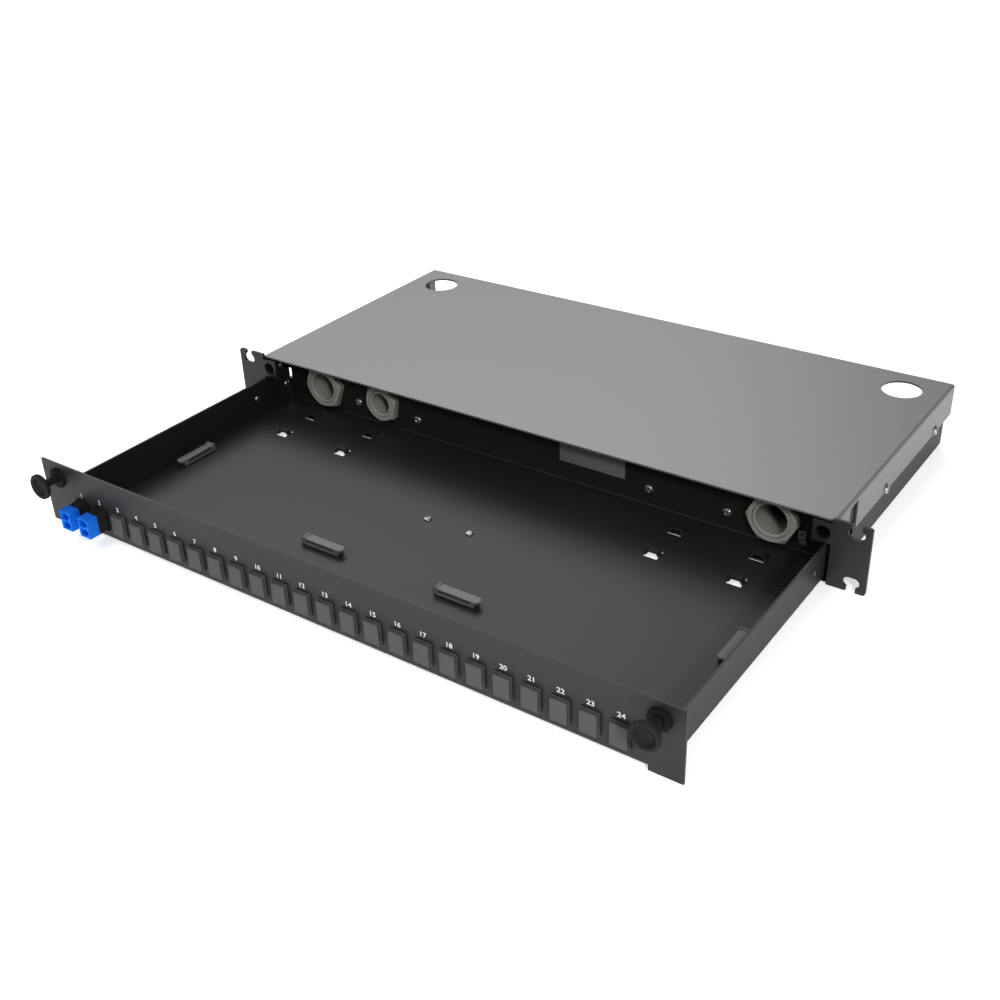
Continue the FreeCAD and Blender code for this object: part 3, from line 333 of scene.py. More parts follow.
def mesh_of(name, points, faces, smooth=True):
    """Mesh from points and faces, its outside facing out."""
    mesh = bpy.data.meshes.new(name)
    mesh.from_pydata([tuple(p) for p in points], [], faces)
    work = bmesh.new()
    work.from_mesh(mesh)
    bmesh.ops.recalc_face_normals(work, faces=work.faces)
    work.to_mesh(mesh)
    work.free()
    if smooth:
        mesh.shade_smooth()
    return mesh


def crisp(mesh, angle=35.0):
    """Smooth shading that keeps edges sharper than an angle."""
    mesh.shade_smooth()
    work = bmesh.new()
    work.from_mesh(mesh)
    limit = math.radians(angle)
    for edge in work.edges:
        edge.smooth = len(edge.link_faces) == 2 and edge.calc_face_angle(0.0) < limit
    work.to_mesh(mesh)
    work.free()
    return mesh


def turned(name, profile, steps):
    """Closed turned piece about the Y axis from (radius, along) points."""
    points, rings = [], []
    for radius, along in profile:
        if not radius:
            rings.append([len(points)])
            points.append((0.0, along, 0.0))
            continue
        ring = []
        for step in range(steps):
            angle = math.tau * step / steps
            ring.append(len(points))
            points.append((radius * math.cos(angle), along, radius * math.sin(angle)))
        rings.append(ring)
    pairs = list(zip(rings, rings[1:]))
    if len(rings[0]) > 1 or len(rings[-1]) > 1:
        pairs.append((rings[-1], rings[0]))
    faces = []
    for one, two in pairs:
        for step in range(steps):
            after = (step + 1) % steps
            if len(one) == 1:
                faces.append((one[0], two[step], two[after]))
            elif len(two) == 1:
                faces.append((one[step], one[after], two[0]))
            else:
                faces.append((one[step], one[after], two[after], two[step]))
    return crisp(mesh_of(name, points, faces))


def hex_radius(angle, flats, turn):
    """Distance from the axis to a hexagon's side at an angle."""
    local = (angle - turn) % (math.pi / 3) - math.pi / 6
    return flats / 2 / math.cos(local)


NUT_BEVEL = math.radians(30)
BEVEL_START = 0.985


def nut(name, flats, thickness, hole, turn, steps, bevels=(True, True)):
    """Hexagonal nut along Y from 0, its corners cut by a cone at the bevelled ends."""
    slope = math.tan(NUT_BEVEL)
    cone = flats / 2 * BEVEL_START
    angles = [turn + math.tau * step / steps for step in range(steps)]
    rows = []
    for end, sign, bevel in ((0.0, 1, bevels[0]), (thickness, -1, bevels[1])):
        edge, side = [], []
        for angle in angles:
            radius = hex_radius(angle, flats, turn)
            flat = min(radius, cone) if bevel else radius
            drop = (radius - flat) * slope * sign
            edge.append((flat * math.cos(angle), end, flat * math.sin(angle)))
            side.append((radius * math.cos(angle), end + drop, radius * math.sin(angle)))
        rows.append((edge, side))
    inner = [[(hole * math.cos(a), end, hole * math.sin(a)) for a in angles]
             for end in (0.0, thickness)]
    loops = [inner[0], rows[0][0], rows[0][1], rows[1][1], rows[1][0], inner[1]]
    points = [point for loop in loops for point in loop]
    faces = []
    for index in range(len(loops)):
        here, there = index * steps, (index + 1) % len(loops) * steps
        for step in range(steps):
            after = (step + 1) % steps
            faces.append((here + step, here + after, there + after, there + step))
    mesh = mesh_of(name, points, faces)
    work = bmesh.new()
    work.from_mesh(mesh)
    bmesh.ops.remove_doubles(work, verts=work.verts, dist=WELD)
    work.to_mesh(mesh)
    work.free()
    return crisp(mesh, 25.0)


ROUNDING_STEPS = 3


def soft_block(work, low, high, edge):
    """Adds a block with rounded edges to a bmesh."""
    low, high = Vector(low), Vector(high)
    verts = bmesh.ops.create_cube(work, size=1.0)["verts"]
    for vert in verts:
        vert.co = Vector([low[k] + (vert.co[k] + 0.5) * (high[k] - low[k]) for k in range(3)])
    if edge:
        edges = {e for v in verts for e in v.link_edges}
        bmesh.ops.bevel(work, geom=list(edges), offset=edge, segments=ROUNDING_STEPS, profile=0.5,
                        affect="EDGES")


def block_mesh(name, blocks):
    """Mesh of several soft blocks, each (low, high, edge)."""
    work = bmesh.new()
    for low, high, edge in blocks:
        soft_block(work, low, high, edge)
    mesh = bpy.data.meshes.new(name)
    work.to_mesh(mesh)
    work.free()
    return crisp(mesh, 50.0)


def carved(base, cutters, name):
    """Mesh of a base with cutter meshes taken out of it."""
    holder = bpy.data.objects.new(name + "_work", base)
    bpy.context.scene.collection.objects.link(holder)
    tools = []
    for index, cutter in enumerate(cutters):
        tool = bpy.data.objects.new(name + "_cut_%d" % index, cutter)
        bpy.context.scene.collection.objects.link(tool)
        step = holder.modifiers.new("cut_%d" % index, "BOOLEAN")
        step.operation = "DIFFERENCE"
        step.solver = "EXACT"
        step.object = tool
        tools.append(tool)
    bpy.context.view_layer.update()
    seen = bpy.context.evaluated_depsgraph_get()
    mesh = bpy.data.meshes.new_from_object(holder.evaluated_get(seen))
    mesh.name = name
    for thing in [holder] + tools:
        bpy.data.objects.remove(thing)
    return crisp(mesh)


def add_piece(name, mesh, slot, body, place=(0, 0, 0), turn=None, replaced=()):
    """Puts a mesh in the scene as a named piece of a body."""
    piece = bpy.data.objects.new(name, mesh)
    bpy.context.scene.collection.objects.link(piece)
    if not mesh.materials:
        mesh.materials.append(finish(slot))
    matrix = Matrix.Translation(Vector(place))
    piece.matrix_world = matrix @ turn if turn else matrix
    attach(piece, body)
    if replaced:
        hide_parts(*replaced)
    return piece


def joined_mesh(name, parts):
    """One mesh from (mesh, matrix) parts."""
    work = bmesh.new()
    for mesh, matrix in parts:
        copy = mesh.copy()
        copy.transform(matrix)
        work.from_mesh(copy)
        bpy.data.meshes.remove(copy)
    mesh = bpy.data.meshes.new(name)
    work.to_mesh(mesh)
    work.free()
    return crisp(mesh)


def welded(node):
    """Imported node's mesh to work on, its corners joined."""
    work = bmesh.new()
    work.from_mesh(FRAME["nodes"][node].data)
    bmesh.ops.remove_doubles(work, verts=work.verts, dist=WELD)
    return work


def rounded_copy(node, edge):
    """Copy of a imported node's mesh whose sharp edges are rounded."""
    flat_limit, sharp_limit = math.radians(2), math.radians(40)
    work = welded(node)
    bmesh.ops.dissolve_limit(work, angle_limit=flat_limit, verts=work.verts, edges=work.edges)
    sharp = [e for e in work.edges
             if len(e.link_faces) == 2 and e.calc_face_angle(0.0) > sharp_limit]
    bmesh.ops.bevel(work, geom=sharp, offset=edge, segments=ROUNDING_STEPS, profile=0.5,
                    affect="EDGES", clamp_overlap=True)
    mesh = bpy.data.meshes.new(node + "_rounded")
    work.to_mesh(mesh)
    work.free()
    return crisp(mesh, 50.0)


def solid_islands(node):
    """Low and high corner of every separate solid in a node."""
    work = welded(node)
    left = set(work.verts)
    found = []
    while left:
        seed = left.pop()
        island, queue = [seed], [seed]
        while queue:
            for edge in queue.pop().link_edges:
                for vert in edge.verts:
                    if vert in left:
                        left.discard(vert)
                        island.append(vert)
                        queue.append(vert)
        low = Vector([min(v.co[k] for v in island) for k in range(3)])
        high = Vector([max(v.co[k] for v in island) for k in range(3)])
        found.append((low, high))
    work.free()
    return sorted(found, key=lambda pair: tuple(round(c, 5) for c in pair[0]))


# Pieces


# Domed heads as (share of the radius, share of the height) from the middle out, and shanks' radii
HEAD_STEPS = 40
SCREW_DOME = ((0.0, 1.0), (0.45, 1.0), (0.7, 0.93), (0.88, 0.72), (0.97, 0.42), (1.0, 0.12),
              (1.0, 0.0))
SCREW_SHANK = 1.5 * MM
RECESS_ARM, RECESS_SLIT = 0.27, 0.085
RIVET_DOME = ((0.0, 1.0), (0.4, 0.94), (0.72, 0.7), (0.92, 0.34), (1.0, 0.0))
RIVET_RISE = 1.1 * MM
RIVET_SEAT = 1.0 * MM
RIVET_SHANK = 1.6 * MM

# Body of each group of screws, their axis, the shank's direction along it (None where each side
# has its own) and the head's height
SCREWS = {
    "housing_screws": ("housing", 0, None, 1.9 * MM),
    "tie_off_screws": ("tray", 1, 1, 1.9 * MM),
    "splice_tray_screws": ("tray", 2, -1, 1.4 * MM),
}


def headed(dome, radius, rise, shank, length):
    """Profile of a domed head that rises towards -Y and of its shank along +Y."""
    head = [(radius * out, -rise * up) for out, up in dome]
    return head + [(shank, 0.0), (shank, length), (0.0, length)]


def screw_mesh(name, head, height, length):
    """Pan-head screw along +Y, its seat at 0, with a cross recess."""
    body = turned(name + "_turned", headed(SCREW_DOME, head / 2, height, SCREW_SHANK, length),
                  HEAD_STEPS)
    arm, slit = head * RECESS_ARM, head * RECESS_SLIT
    above, floor = -height * 1.5, -height * 0.45
    cutters = [block_mesh(name + "_a", [((-arm, above, -slit), (arm, floor, slit), 0)]),
               block_mesh(name + "_b", [((-slit, above, -arm), (slit, floor, arm), 0)])]
    return carved(body, cutters, name)


def turn_from_y(towards):
    """Turn that takes +Y to a direction."""
    return Vector((0, 1, 0)).rotation_difference(Vector(towards)).to_matrix().to_4x4()


class PANEL_OT_coat_sheet(bpy.types.Operator):
    """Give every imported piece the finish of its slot"""

    bl_idname = "patch_panel.coat_sheet"
    bl_label = "Finish Packed Pieces"

    def execute(self, context):
        for row in FRAME["record"]["subparts"]:
            coat_node(row["node"], row["material_slot"])
        return {"FINISHED"}


class PANEL_OT_blanking_plugs(bpy.types.Operator):
    """Build the blanking plugs with a stepped front pad and hollow snap body"""

    bl_idname = "patch_panel.blanking_plugs"
    bl_label = "Blanking Plugs"

    def execute(self, context):
        size = sizes()
        face = panel_face()
        low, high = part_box(PLUGS[0])
        front, rear = low.y - face, high.y - face
        half_w, half_h = (high.x - low.x) / 2, (high.z - low.z) / 2
        body_w, body_h = half_w - 0.9 * MM, half_h - 0.95 * MM
        pad_w, pad_h = half_w - size.plug_pad_inset, half_h - size.plug_pad_inset
        flange = size.plug_flange
        wall, flange_edge, wall_edge = 1.2 * MM, 0.25 * MM, 0.2 * MM
        lapped = body_w - wall / 2
        blocks = [
            ((-half_w, -flange, -half_h), (half_w, 0, half_h), flange_edge),
            ((-pad_w, front, -pad_h), (pad_w, -flange / 2, pad_h), size.plug_edge),
            ((-body_w, 0, -body_h), (-body_w + wall, rear, body_h), wall_edge),
            ((body_w - wall, 0, -body_h), (body_w, rear, body_h), wall_edge),
            ((-lapped, 0, -body_h), (lapped, rear, -body_h + wall), wall_edge),
            ((-lapped, 0, body_h - wall), (lapped, rear, body_h), wall_edge),
        ]
        mesh = block_mesh("blanking_plug", blocks)
        for node in PLUGS:
            middle = node_middle(node)
            add_piece("plug_" + node[-2:], mesh, "plug_plastic", "tray",
                      (middle.x, face, middle.z), replaced=[node])
        return {"FINISHED"}


# Latch knob, in shares of its radius and mm: the dished face by depth, the back of the head by
# distance ahead of the back, and the stem's root by distance behind it. One rib of the stem is in
# shares of the stem's radius and of the pitch
KNOB_HEAD = 3.4 * MM
KNOB_STEM = 2.5 * MM
KNOB_FACE = ((0.0, 2.3), (0.42, 2.25), (0.58, 2.0), (0.66, 1.5), (0.7, 0.7), (0.74, 0.2),
             (0.8, 0.0), (0.88, 0.0), (0.95, 0.2), (0.99, 0.6), (1.0, 1.1))
KNOB_BACK = ((1.0, 1.1), (0.97, 0.6), (0.86, 0.2), (0.6, 0.0))
STEM_ROOT = ((1.25, 0.0), (1.02, 0.25), (0.84, 0.3))
STEM_RIBS = 4
STEM_RIB = ((0.84, 0.3), (0.97, 0.42), (1.0, 0.5), (1.0, 0.78), (0.97, 0.86), (0.84, 0.98))


class PANEL_OT_latches(bpy.types.Operator):
    """Build the latches' dished knobs on their ribbed stems"""

    bl_idname = "patch_panel.latches"
    bl_label = "Latch Knobs"

    def execute(self, context):
        face = panel_face()
        for side in LATCH_SIDES:
            node = side + "_latch_plunger"
            low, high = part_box(node)
            middle = node_middle(node)
            grommet_low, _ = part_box(side + "_latch_grommet")
            profile = self.knob_profile((high.x - low.x) / 2, low.y - face, high.y - face,
                                        grommet_low.y - face)
            name = side + "_latch_knob"
            add_piece(name, turned(name, profile, sizes().segments), "knob_plastic",
                      side + "_latch", (middle.x, face, middle.z), replaced=[node])
        return {"FINISHED"}

    def knob_profile(self, head, front, tip, grommet):
        """Knob's outline from the dish to the tip as (radius, along) points."""
        back = front + KNOB_HEAD
        neck = STEM_ROOT[-1][1] * MM
        profile = [(head * out, front + deep * MM) for out, deep in KNOB_FACE]
        profile += [(head * out, back - ahead * MM) for out, ahead in KNOB_BACK]
        profile += [(KNOB_STEM * out, back + behind * MM) for out, behind in STEM_ROOT]
        pitch = (grommet - back - 2 * neck) / STEM_RIBS
        for rib in range(STEM_RIBS):
            start = back + neck + rib * pitch
            profile += [(KNOB_STEM * out, start + pitch * along) for out, along in STEM_RIB]
        plain = KNOB_STEM * 0.98
        profile += [(plain, grommet), (plain, tip - 0.8 * MM), (KNOB_STEM * 0.5, tip), (0.0, tip)]
        return profile


class PANEL_OT_screws(bpy.types.Operator):
    """Build the screws with domed heads and cross recesses"""

    bl_idname = "patch_panel.screws"
    bl_label = "Screws"

    def execute(self, context):
        _, cover_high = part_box("top_cover")
        inside = cover_high.x - COVER_SHEET
        meshes = {}
        for node, (body, axis, direction, head_height) in SCREWS.items():
            for index, (low, high) in enumerate(solid_islands(node)):
                span, middle = high - low, (high + low) / 2
                # The cover's screws are driven inward and the ears' screws outward
                outer = abs(middle.x) > inside
                along = direction or (-1 if (middle.x > 0) == outer else 1)
                across = span.y if axis == 0 else span.x
                length = span[axis] - head_height
                key = (round(across, 5), round(length, 5))
                if key not in meshes:
                    name = "screw_%d" % len(meshes)
                    meshes[key] = screw_mesh(name, across, head_height, length)
                seat = Vector(middle)
                seat[axis] = (low if along > 0 else high)[axis] + along * head_height
                towards = Vector((0, 0, 0))
                towards[axis] = along
                spin = Matrix.Rotation(0.6 * index + 0.3, 4, "Y")
                replaced = [node] if index == 0 else ()
                add_piece("%s_%d" % (node[:-1], index + 1), meshes[key], "fastener_zinc", body,
                          seat, turn_from_y(towards) @ spin, replaced)
        return {"FINISHED"}


class PANEL_OT_rivets(bpy.types.Operator):
    """Build the domed rivets of the tray's side walls"""

    bl_idname = "patch_panel.rivets"
    bl_label = "Rivets"

    def execute(self, context):
        node = "side_wall_rivets"
        for index, (low, high) in enumerate(solid_islands(node)):
            middle = (high + low) / 2
            length = high.x - low.x - RIVET_SEAT
            profile = headed(RIVET_DOME, (high.z - low.z) / 2, RIVET_RISE, RIVET_SHANK, length)
            mesh = turned("rivet_%d" % (index + 1), profile, HEAD_STEPS)
            outward = 1 if middle.x > 0 else -1
            seat = (low if outward > 0 else high).x + outward * RIVET_SEAT
            replaced = [node] if index == 0 else ()
            add_piece("side_wall_rivet_%d" % (index + 1), mesh, "fastener_zinc", "tray",
                      (seat, middle.y, middle.z), turn_from_y((outward, 0, 0)), replaced)
        return {"FINISHED"}


ADAPTER_EDGE = 0.14 * MM
SADDLE_EDGE = 0.28 * MM


class PANEL_OT_mouldings(bpy.types.Operator):
    """Round the edges of the adapters and the cable saddles, the adapters' rear painted black as
    shade
    """

    bl_idname = "patch_panel.mouldings"
    bl_label = "Adapters and Saddles"

    def execute(self, context):
        for node in ADAPTERS:
            mesh = rounded_copy(node, ADAPTER_EDGE)
            low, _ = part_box(node)
            mesh.materials.append(finish("adapter_plastic"))
            # The knob's black plastic is the adapters' second finish: painted shade on the body
            # behind the blue front end
            mesh.materials.append(finish("knob_plastic"))
            self.darken_behind(mesh, low.y + sizes().adapter_nose)
            add_piece(node + "_shell", mesh, "adapter_plastic", "tray", replaced=[node])
        for place in SADDLES:
            for part, body in (("saddle_base_", "tray"), ("saddle_arm_", "saddle_" + place)):
                node = part + place
                add_piece(node + "_soft", rounded_copy(node, SADDLE_EDGE), "saddle_plastic", body,
                          replaced=[node])
        return {"FINISHED"}

    def darken_behind(self, mesh, limit):
        """Black second finish as painted shade on the faces behind a plane across Y, where the blue
        front end ends.
        """
        work = bmesh.new()
        work.from_mesh(mesh)
        everything = work.verts[:] + work.edges[:] + work.faces[:]
        bmesh.ops.bisect_plane(work, geom=everything, plane_co=(0, limit, 0), plane_no=(0, 1, 0))
        for face in work.faces:
            face.material_index = 1 if face.calc_center_median().y > limit else 0
        work.to_mesh(mesh)
        work.free()


class PANEL_OT_grommets(bpy.types.Operator):
    """Build the slit grommets that the latch knobs push through"""

    bl_idname = "patch_panel.grommets"
    bl_label = "Latch Grommets"

    def execute(self, context):
        face = panel_face()
        bore, sleeve, soft = 2.56 * MM, 3.8 * MM, 0.7 * MM
        narrow, wide = 0.5 * MM, 5.0 * MM
        slit_start, slit_end = 2.5 * MM, 9.0 * MM
        for side in LATCH_SIDES:
            node = side + "_latch_grommet"
            low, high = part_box(node)
            middle = node_middle(node)
            front, end, rim = low.y - face, high.y - face, (high.x - low.x) / 2
            profile = [(bore, front + soft * 0.5), (bore + soft * 0.5, front), (rim - soft, front),
                       (rim - soft * 0.3, front + soft * 0.3), (rim, front + soft), (rim, 0.0),
                       (sleeve, 0.0), (sleeve, end - soft), (sleeve - soft, end), (bore, end)]
            body = turned(node + "_turned", profile, sizes().segments)
            slits = [block_mesh(node + "_slit", [((-across, slit_start, -up),
                                                  (across, slit_end, up), 0)])
                     for across, up in ((narrow, wide), (wide, narrow))]
            mesh = carved(body, slits, node + "_collar")
            add_piece(node + "_collar", mesh, "grommet_plastic", "tray",
                      (middle.x, face, middle.z), replaced=[node])
        return {"FINISHED"}


# Each gland's size across flats, thread diameter, bore and the turn of its lock nut in degrees
GLANDS = {
    "gland_outer_left": (30.0 * MM, 25.0 * MM, 20.0 * MM, -50.0),
    "gland_inner_left": (25.6 * MM, 20.0 * MM, 15.0 * MM, -40.0),
    "gland_right": (30.0 * MM, 25.0 * MM, 20.0 * MM, -58.0),
}
GLAND_STEPS = 96

# Shares of the thread's outer radius: the thread's crest, root and chamfered end, and the holes
# of the pieces that go over it
THREAD_CREST, THREAD_ROOT, THREAD_END = 0.975, 0.94, 0.93
LOCK_NUT_HOLE, COLLAR_HOLE, CAP_HOLE = 0.985, 0.96, 1.02
THREAD_PITCH = 1.5 * MM

# Nose of the cap as shares of half its flats: radius, and distance back from the end
CAP_NOSE = ((0.99, 0.44), (0.96, 0.3), (0.88, 0.14), (0.76, 0.04), (0.66, 0.0))
CAP_GRIP = 0.6
CAP_LIP = 2.2 * MM


class PANEL_OT_glands(bpy.types.Operator):
    """Build the cable glands: chamfered lock nuts, threaded bodies and domed caps"""

    bl_idname = "patch_panel.glands"
    bl_label = "Cable Glands"

    def execute(self, context):
        for name, (flats, diameter, opening, turn) in GLANDS.items():
            thread, bore = diameter / 2, opening / 2
            low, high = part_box(name + "_lock_nut")
            middle = node_middle(name + "_body")
            mesh = nut(name + "_lock_nut", flats, high.y - low.y, thread * LOCK_NUT_HOLE,
                       math.radians(turn), GLAND_STEPS, (True, False))
            add_piece(name + "_ring_nut", mesh, "gland_plastic", "tray",
                      (middle.x, low.y, middle.z), replaced=[name + "_lock_nut"])
            self.add_body(name, low.y, thread, bore, flats, middle)
            self.add_cap(name, thread, bore, flats, middle)
        return {"FINISHED"}

    def add_body(self, name, start, thread, bore, flats, middle):
        """Threaded tube with its hexagonal collar."""
        low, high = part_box(name + "_body")
        length = high.y - low.y
        lip = 0.5 * MM
        crest, root, end = thread * THREAD_CREST, thread * THREAD_ROOT, thread * THREAD_END
        profile = [(bore + lip, 0.0), (end, 0.0), (crest, lip)]
        along = lip
        while along < length - 2 * THREAD_PITCH:
            profile += [(radius, along + THREAD_PITCH * share) for radius, share in
                        ((crest, 0.3), (root, 0.5), (root, 0.6), (crest, 0.9))]
            along += THREAD_PITCH
        profile += [(crest, length - lip), (end, length), (bore + lip, length),
                    (bore, length - lip), (bore, lip)]
        tube = turned(name + "_tube", profile, GLAND_STEPS)
        _, wall_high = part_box("sliding_tray")
        cap_low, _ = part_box(name + "_cap_nut")
        collar = nut(name + "_collar", flats, cap_low.y - wall_high.y, thread * COLLAR_HOLE, 0.0,
                     GLAND_STEPS)
        shift = Matrix.Translation((0, wall_high.y - start, 0))
        mesh = joined_mesh(name + "_fitting", [(tube, Matrix.Identity(4)), (collar, shift)])
        add_piece(name + "_fitting", mesh, "gland_plastic", "tray", (middle.x, start, middle.z),
                  replaced=[name + "_body"])

    def add_cap(self, name, thread, bore, flats, middle):
        """Cap nut with a hexagonal grip and a rounded nose."""
        low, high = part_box(name + "_cap_nut")
        length = high.y - low.y
        grip, outer, inner = length * CAP_GRIP, flats / 2, thread * CAP_HOLE
        mouth, edge = bore - 2.4 * MM, 0.6 * MM
        hexed = nut(name + "_grip", flats, grip, inner, 0.0, GLAND_STEPS)
        profile = [(inner, grip * 0.3), (outer * 0.99, grip * 0.3)]
        profile += [(outer * out, length - outer * back) for out, back in CAP_NOSE]
        profile += [(mouth + edge, length), (mouth, length - edge), (mouth, length - CAP_LIP),
                    (inner, length - CAP_LIP)]
        nose = turned(name + "_nose", profile, GLAND_STEPS)
        stay = Matrix.Identity(4)
        mesh = joined_mesh(name + "_dome", [(hexed, stay), (nose, stay)])
        add_piece(name + "_dome", mesh, "gland_plastic", "tray", (middle.x, low.y, middle.z),
                  replaced=[name + "_cap_nut"])


# Digits, in shares of the text's size: extra weight, depth each way, and widening
DIGIT_WEIGHT = 0.025
DIGIT_DEPTH = 0.01
DIGIT_WIDENING = 1.1


class PANEL_OT_digits(bpy.types.Operator):
    """Print the opening numbers on the panel"""

    bl_idname = "patch_panel.digits"
    bl_label = "Opening Numbers"

    def execute(self, context):
        size = sizes()
        level = panel_face() - size.print_thickness / 2
        middles = [node_middle(node).x for node in ADAPTERS + tuple(PLUGS)]
        for number, x in enumerate(middles, start=1):
            name = "number_%02d" % number
            mesh = self.number_mesh(name, number)
            add_piece(name, mesh, "screen_print", "tray", (x, level, size.digit_level))
        return {"FINISHED"}

    def number_mesh(self, name, number):
        """Upright print of a number, centred on its place."""
        size = sizes()
        text = bpy.data.curves.new("digits", "FONT")
        text.body = str(number)
        text.align_x = "CENTER"
        text.align_y = "CENTER"
        text.size = 1.0
        text.offset = DIGIT_WEIGHT
        text.extrude = DIGIT_DEPTH
        holder = bpy.data.objects.new("digits_work", text)
        bpy.context.scene.collection.objects.link(holder)
        bpy.context.view_layer.update()
        seen = bpy.context.evaluated_depsgraph_get()
        mesh = bpy.data.meshes.new_from_object(holder.evaluated_get(seen))
        bpy.data.objects.remove(holder)
        bpy.data.curves.remove(text)
        high = max(v.co.y for v in mesh.vertices)
        low = min(v.co.y for v in mesh.vertices)
        scale = size.digit_height / (high - low)
        deep = size.print_thickness / (2 * DIGIT_DEPTH)
        mesh.transform(Matrix.Translation((0, -(high + low) / 2, 0)))
        mesh.transform(Matrix.Diagonal((scale * DIGIT_WIDENING, scale, deep, 1)))
        mesh.transform(Matrix.Rotation(math.pi / 2, 4, "X"))
        mesh.name = name
        return mesh


LABEL_LEFT = 25.6 * MM
LABEL_FOOT = 16.5 * MM


class PANEL_OT_label(bpy.types.Operator):
    """Stick the blank label on the rear wall"""

    bl_idname = "patch_panel.label"
    bl_label = "Blank Label"

    def execute(self, context):
        size = sizes()
        thick = size.print_thickness
        _, tray_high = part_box("sliding_tray")
        wall = tray_high.y - TRAY_SHEET
        low = (LABEL_LEFT, wall - thick, LABEL_FOOT)
        high = (LABEL_LEFT + size.label_width, wall, LABEL_FOOT + size.label_height)
        mesh = block_mesh("blank_label", [(low, high, thick * 0.3)])
        add_piece("blank_label", mesh, "label_paper", "tray")
        return {"FINISHED"}


# Stage, in metres and watts. Each lamp's place, aim, width, height and power
LAMPS = {
    "rear_softbox": ((-1.75, 1.5, 2.1), (0, 0, 0.1), 3.4, 1.6, 27.5),
    "front_softbox": ((-0.6, -1.1, 1.6), (-0.1, -0.4, 0), 1.2, 1.2, 6.0),
    "sparkle_lamp": ((1.1, -1.1, 0.9), (0, -0.15, 0), 0.2, 0.2, 6.0),
}
FLOOR_REACH = 20
FLOOR_DROP = 0.3 * MM
FLOOR_GLOW = 0.32

# Light of the surroundings at the horizon, higher up, and the height where it has faded
HORIZON_LIGHT = 0.62
SKY_LIGHT = 0.19
FADE_HEIGHT = 0.4

# Camera that took the photograph, as solved from the rack's own sizes
CAMERA_PLACE = (0.4182, -0.6942, 0.4145)
CAMERA_FORWARD = (-0.5057, 0.6975, -0.5077)
CAMERA_UP = (-0.2674, 0.4328, 0.8609)
CAMERA_SENSOR_MM = 36.0
CAMERA_LENS_MM = 45.49


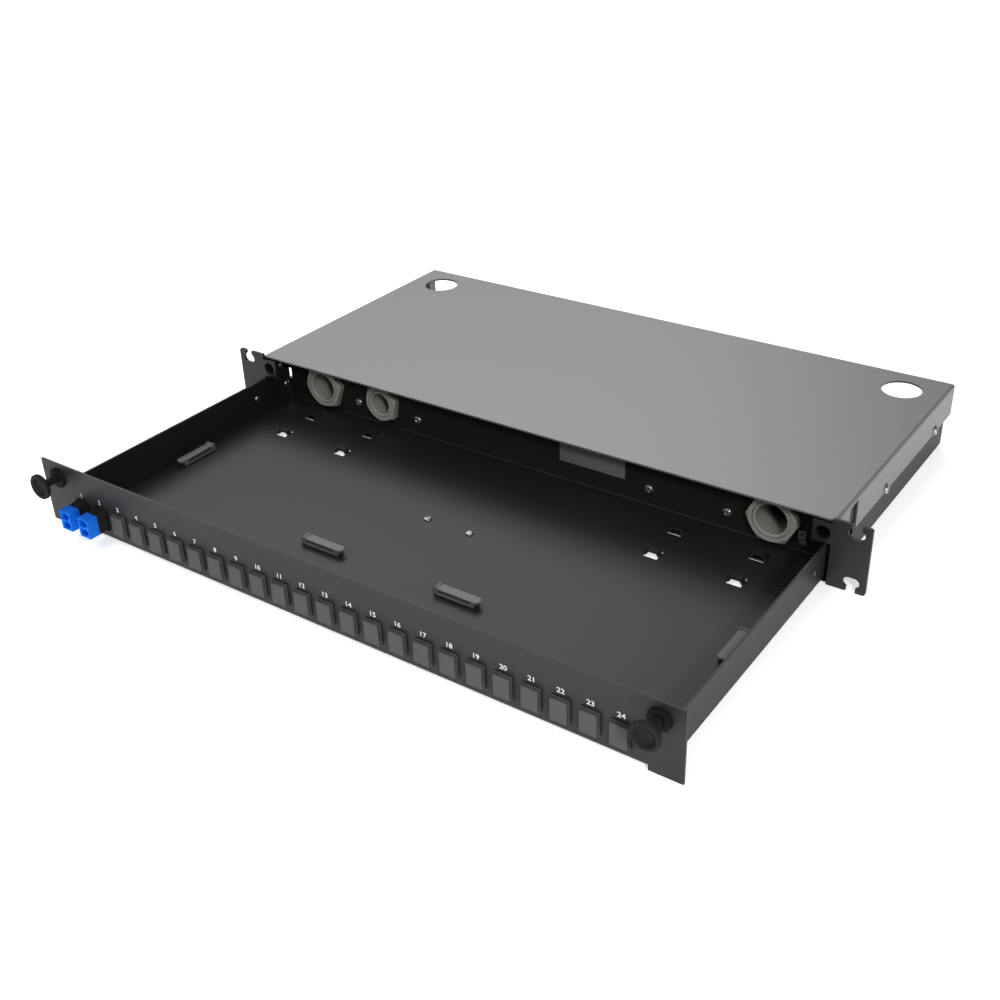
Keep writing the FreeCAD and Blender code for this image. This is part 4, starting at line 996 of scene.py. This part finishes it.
class PANEL_OT_stage(bpy.types.Operator):
    """Set up the floor, soft light and the camera"""

    bl_idname = "patch_panel.stage"
    bl_label = "Floor, Light and Camera"

    def execute(self, context):
        scene = context.scene
        self.lay_floor(scene)
        self.light_surroundings(scene)
        for name, (place, aim, width, height, power) in LAMPS.items():
            self.hang_lamp(scene, name, place, aim, width, height, power)
        self.place_camera(scene)
        scene.view_settings.view_transform = "Standard"
        scene.view_settings.look = "Very High Contrast"
        return {"FINISHED"}

    def lay_floor(self, scene):
        """White paper floor that glows a little."""
        reach = FLOOR_REACH
        corners = [(-reach, -reach, 0), (reach, -reach, 0), (reach, reach, 0), (-reach, reach, 0)]
        mesh = mesh_of("floor", corners, [(0, 1, 2, 3)], smooth=False)
        floor = bpy.data.objects.new("floor", mesh)
        floor.location.z = -FLOOR_DROP
        scene.collection.objects.link(floor)
        material, tree, shader, place = node_material("floor_paper")
        pattern = noise(tree, place, scale=3.0)
        paper = tint(tree, pattern, colours().floor, low=0.985, high=1.0)
        tree.links.new(paper, shader.inputs["Base Color"])
        shader.inputs["Roughness"].default_value = 0.9
        shader.inputs["Emission Color"].default_value = (1, 1, 1, 1)
        shader.inputs["Emission Strength"].default_value = FLOOR_GLOW
        mesh.materials.append(material)

    def light_surroundings(self, scene):
        """White surroundings, brightest at the horizon."""
        world = bpy.data.worlds.new("studio")
        world.use_nodes = True
        tree = world.node_tree
        background = tree.nodes["Background"]
        background.inputs["Color"].default_value = (1, 1, 1, 1)
        direction = tree.nodes.new("ShaderNodeTexCoord")
        parts = tree.nodes.new("ShaderNodeSeparateXYZ")
        fade = tree.nodes.new("ShaderNodeMapRange")
        fade.inputs["From Max"].default_value = FADE_HEIGHT
        fade.inputs["To Min"].default_value = HORIZON_LIGHT
        fade.inputs["To Max"].default_value = SKY_LIGHT
        tree.links.new(direction.outputs["Generated"], parts.inputs["Vector"])
        tree.links.new(parts.outputs["Z"], fade.inputs["Value"])
        tree.links.new(fade.outputs["Result"], background.inputs["Strength"])
        scene.world = world

    def hang_lamp(self, scene, name, place, aim, width, height, power):
        """Soft area light that looks at its aim."""
        lamp = bpy.data.lights.new(name, "AREA")
        lamp.shape = "RECTANGLE"
        lamp.size = width
        lamp.size_y = height
        lamp.energy = power
        light = bpy.data.objects.new(name, lamp)
        scene.collection.objects.link(light)
        light.location = place
        light.rotation_euler = (Vector(aim) - Vector(place)).to_track_quat("-Z", "Y").to_euler()

    def place_camera(self, scene):
        """Camera at the photograph's place."""
        lens = bpy.data.cameras.new("photo_camera")
        lens.sensor_width = CAMERA_SENSOR_MM
        lens.lens = CAMERA_LENS_MM
        camera = bpy.data.objects.new("photo_camera", lens)
        scene.collection.objects.link(camera)
        forward = Vector(CAMERA_FORWARD).normalized()
        right = forward.cross(Vector(CAMERA_UP)).normalized()
        up = right.cross(forward).normalized()
        turn = Matrix((right, up, -forward)).transposed().to_4x4()
        camera.matrix_world = Matrix.Translation(CAMERA_PLACE) @ turn
        scene.camera = camera


OPERATORS = (PANEL_OT_coat_sheet, PANEL_OT_blanking_plugs, PANEL_OT_latches, PANEL_OT_grommets,
             PANEL_OT_screws, PANEL_OT_rivets, PANEL_OT_mouldings, PANEL_OT_glands, PANEL_OT_digits,
             PANEL_OT_label, PANEL_OT_stage)


class PANEL_PT_patch_panel(bpy.types.Panel):
    """Sidebar panel that lists the pieces"""

    bl_idname = "PANEL_PT_patch_panel"
    bl_label = "Patch Panel"
    bl_space_type = "VIEW_3D"
    bl_region_type = "UI"
    bl_category = "Patch Panel"

    def draw(self, context):
        for operator in OPERATORS:
            self.layout.operator(operator.bl_idname)


CLASSES = (PanelSizes, PanelColours) + OPERATORS + (PANEL_PT_patch_panel,)


def register():
    """Adds the classes and the scene's settings."""
    for item in CLASSES:
        bpy.utils.register_class(item)
    bpy.types.Scene.patch_panel_sizes = PointerProperty(type=PanelSizes)
    bpy.types.Scene.patch_panel_colours = PointerProperty(type=PanelColours)


def unregister():
    """Removes the scene's settings and the classes."""
    del bpy.types.Scene.patch_panel_colours
    del bpy.types.Scene.patch_panel_sizes
    for item in reversed(CLASSES):
        bpy.utils.unregister_class(item)


def main():
    """Builds every piece."""
    register()
    for operator in OPERATORS:
        group, name = operator.bl_idname.split(".")
        getattr(getattr(bpy.ops, group), name)()


if __name__ == "__main__":
    main()
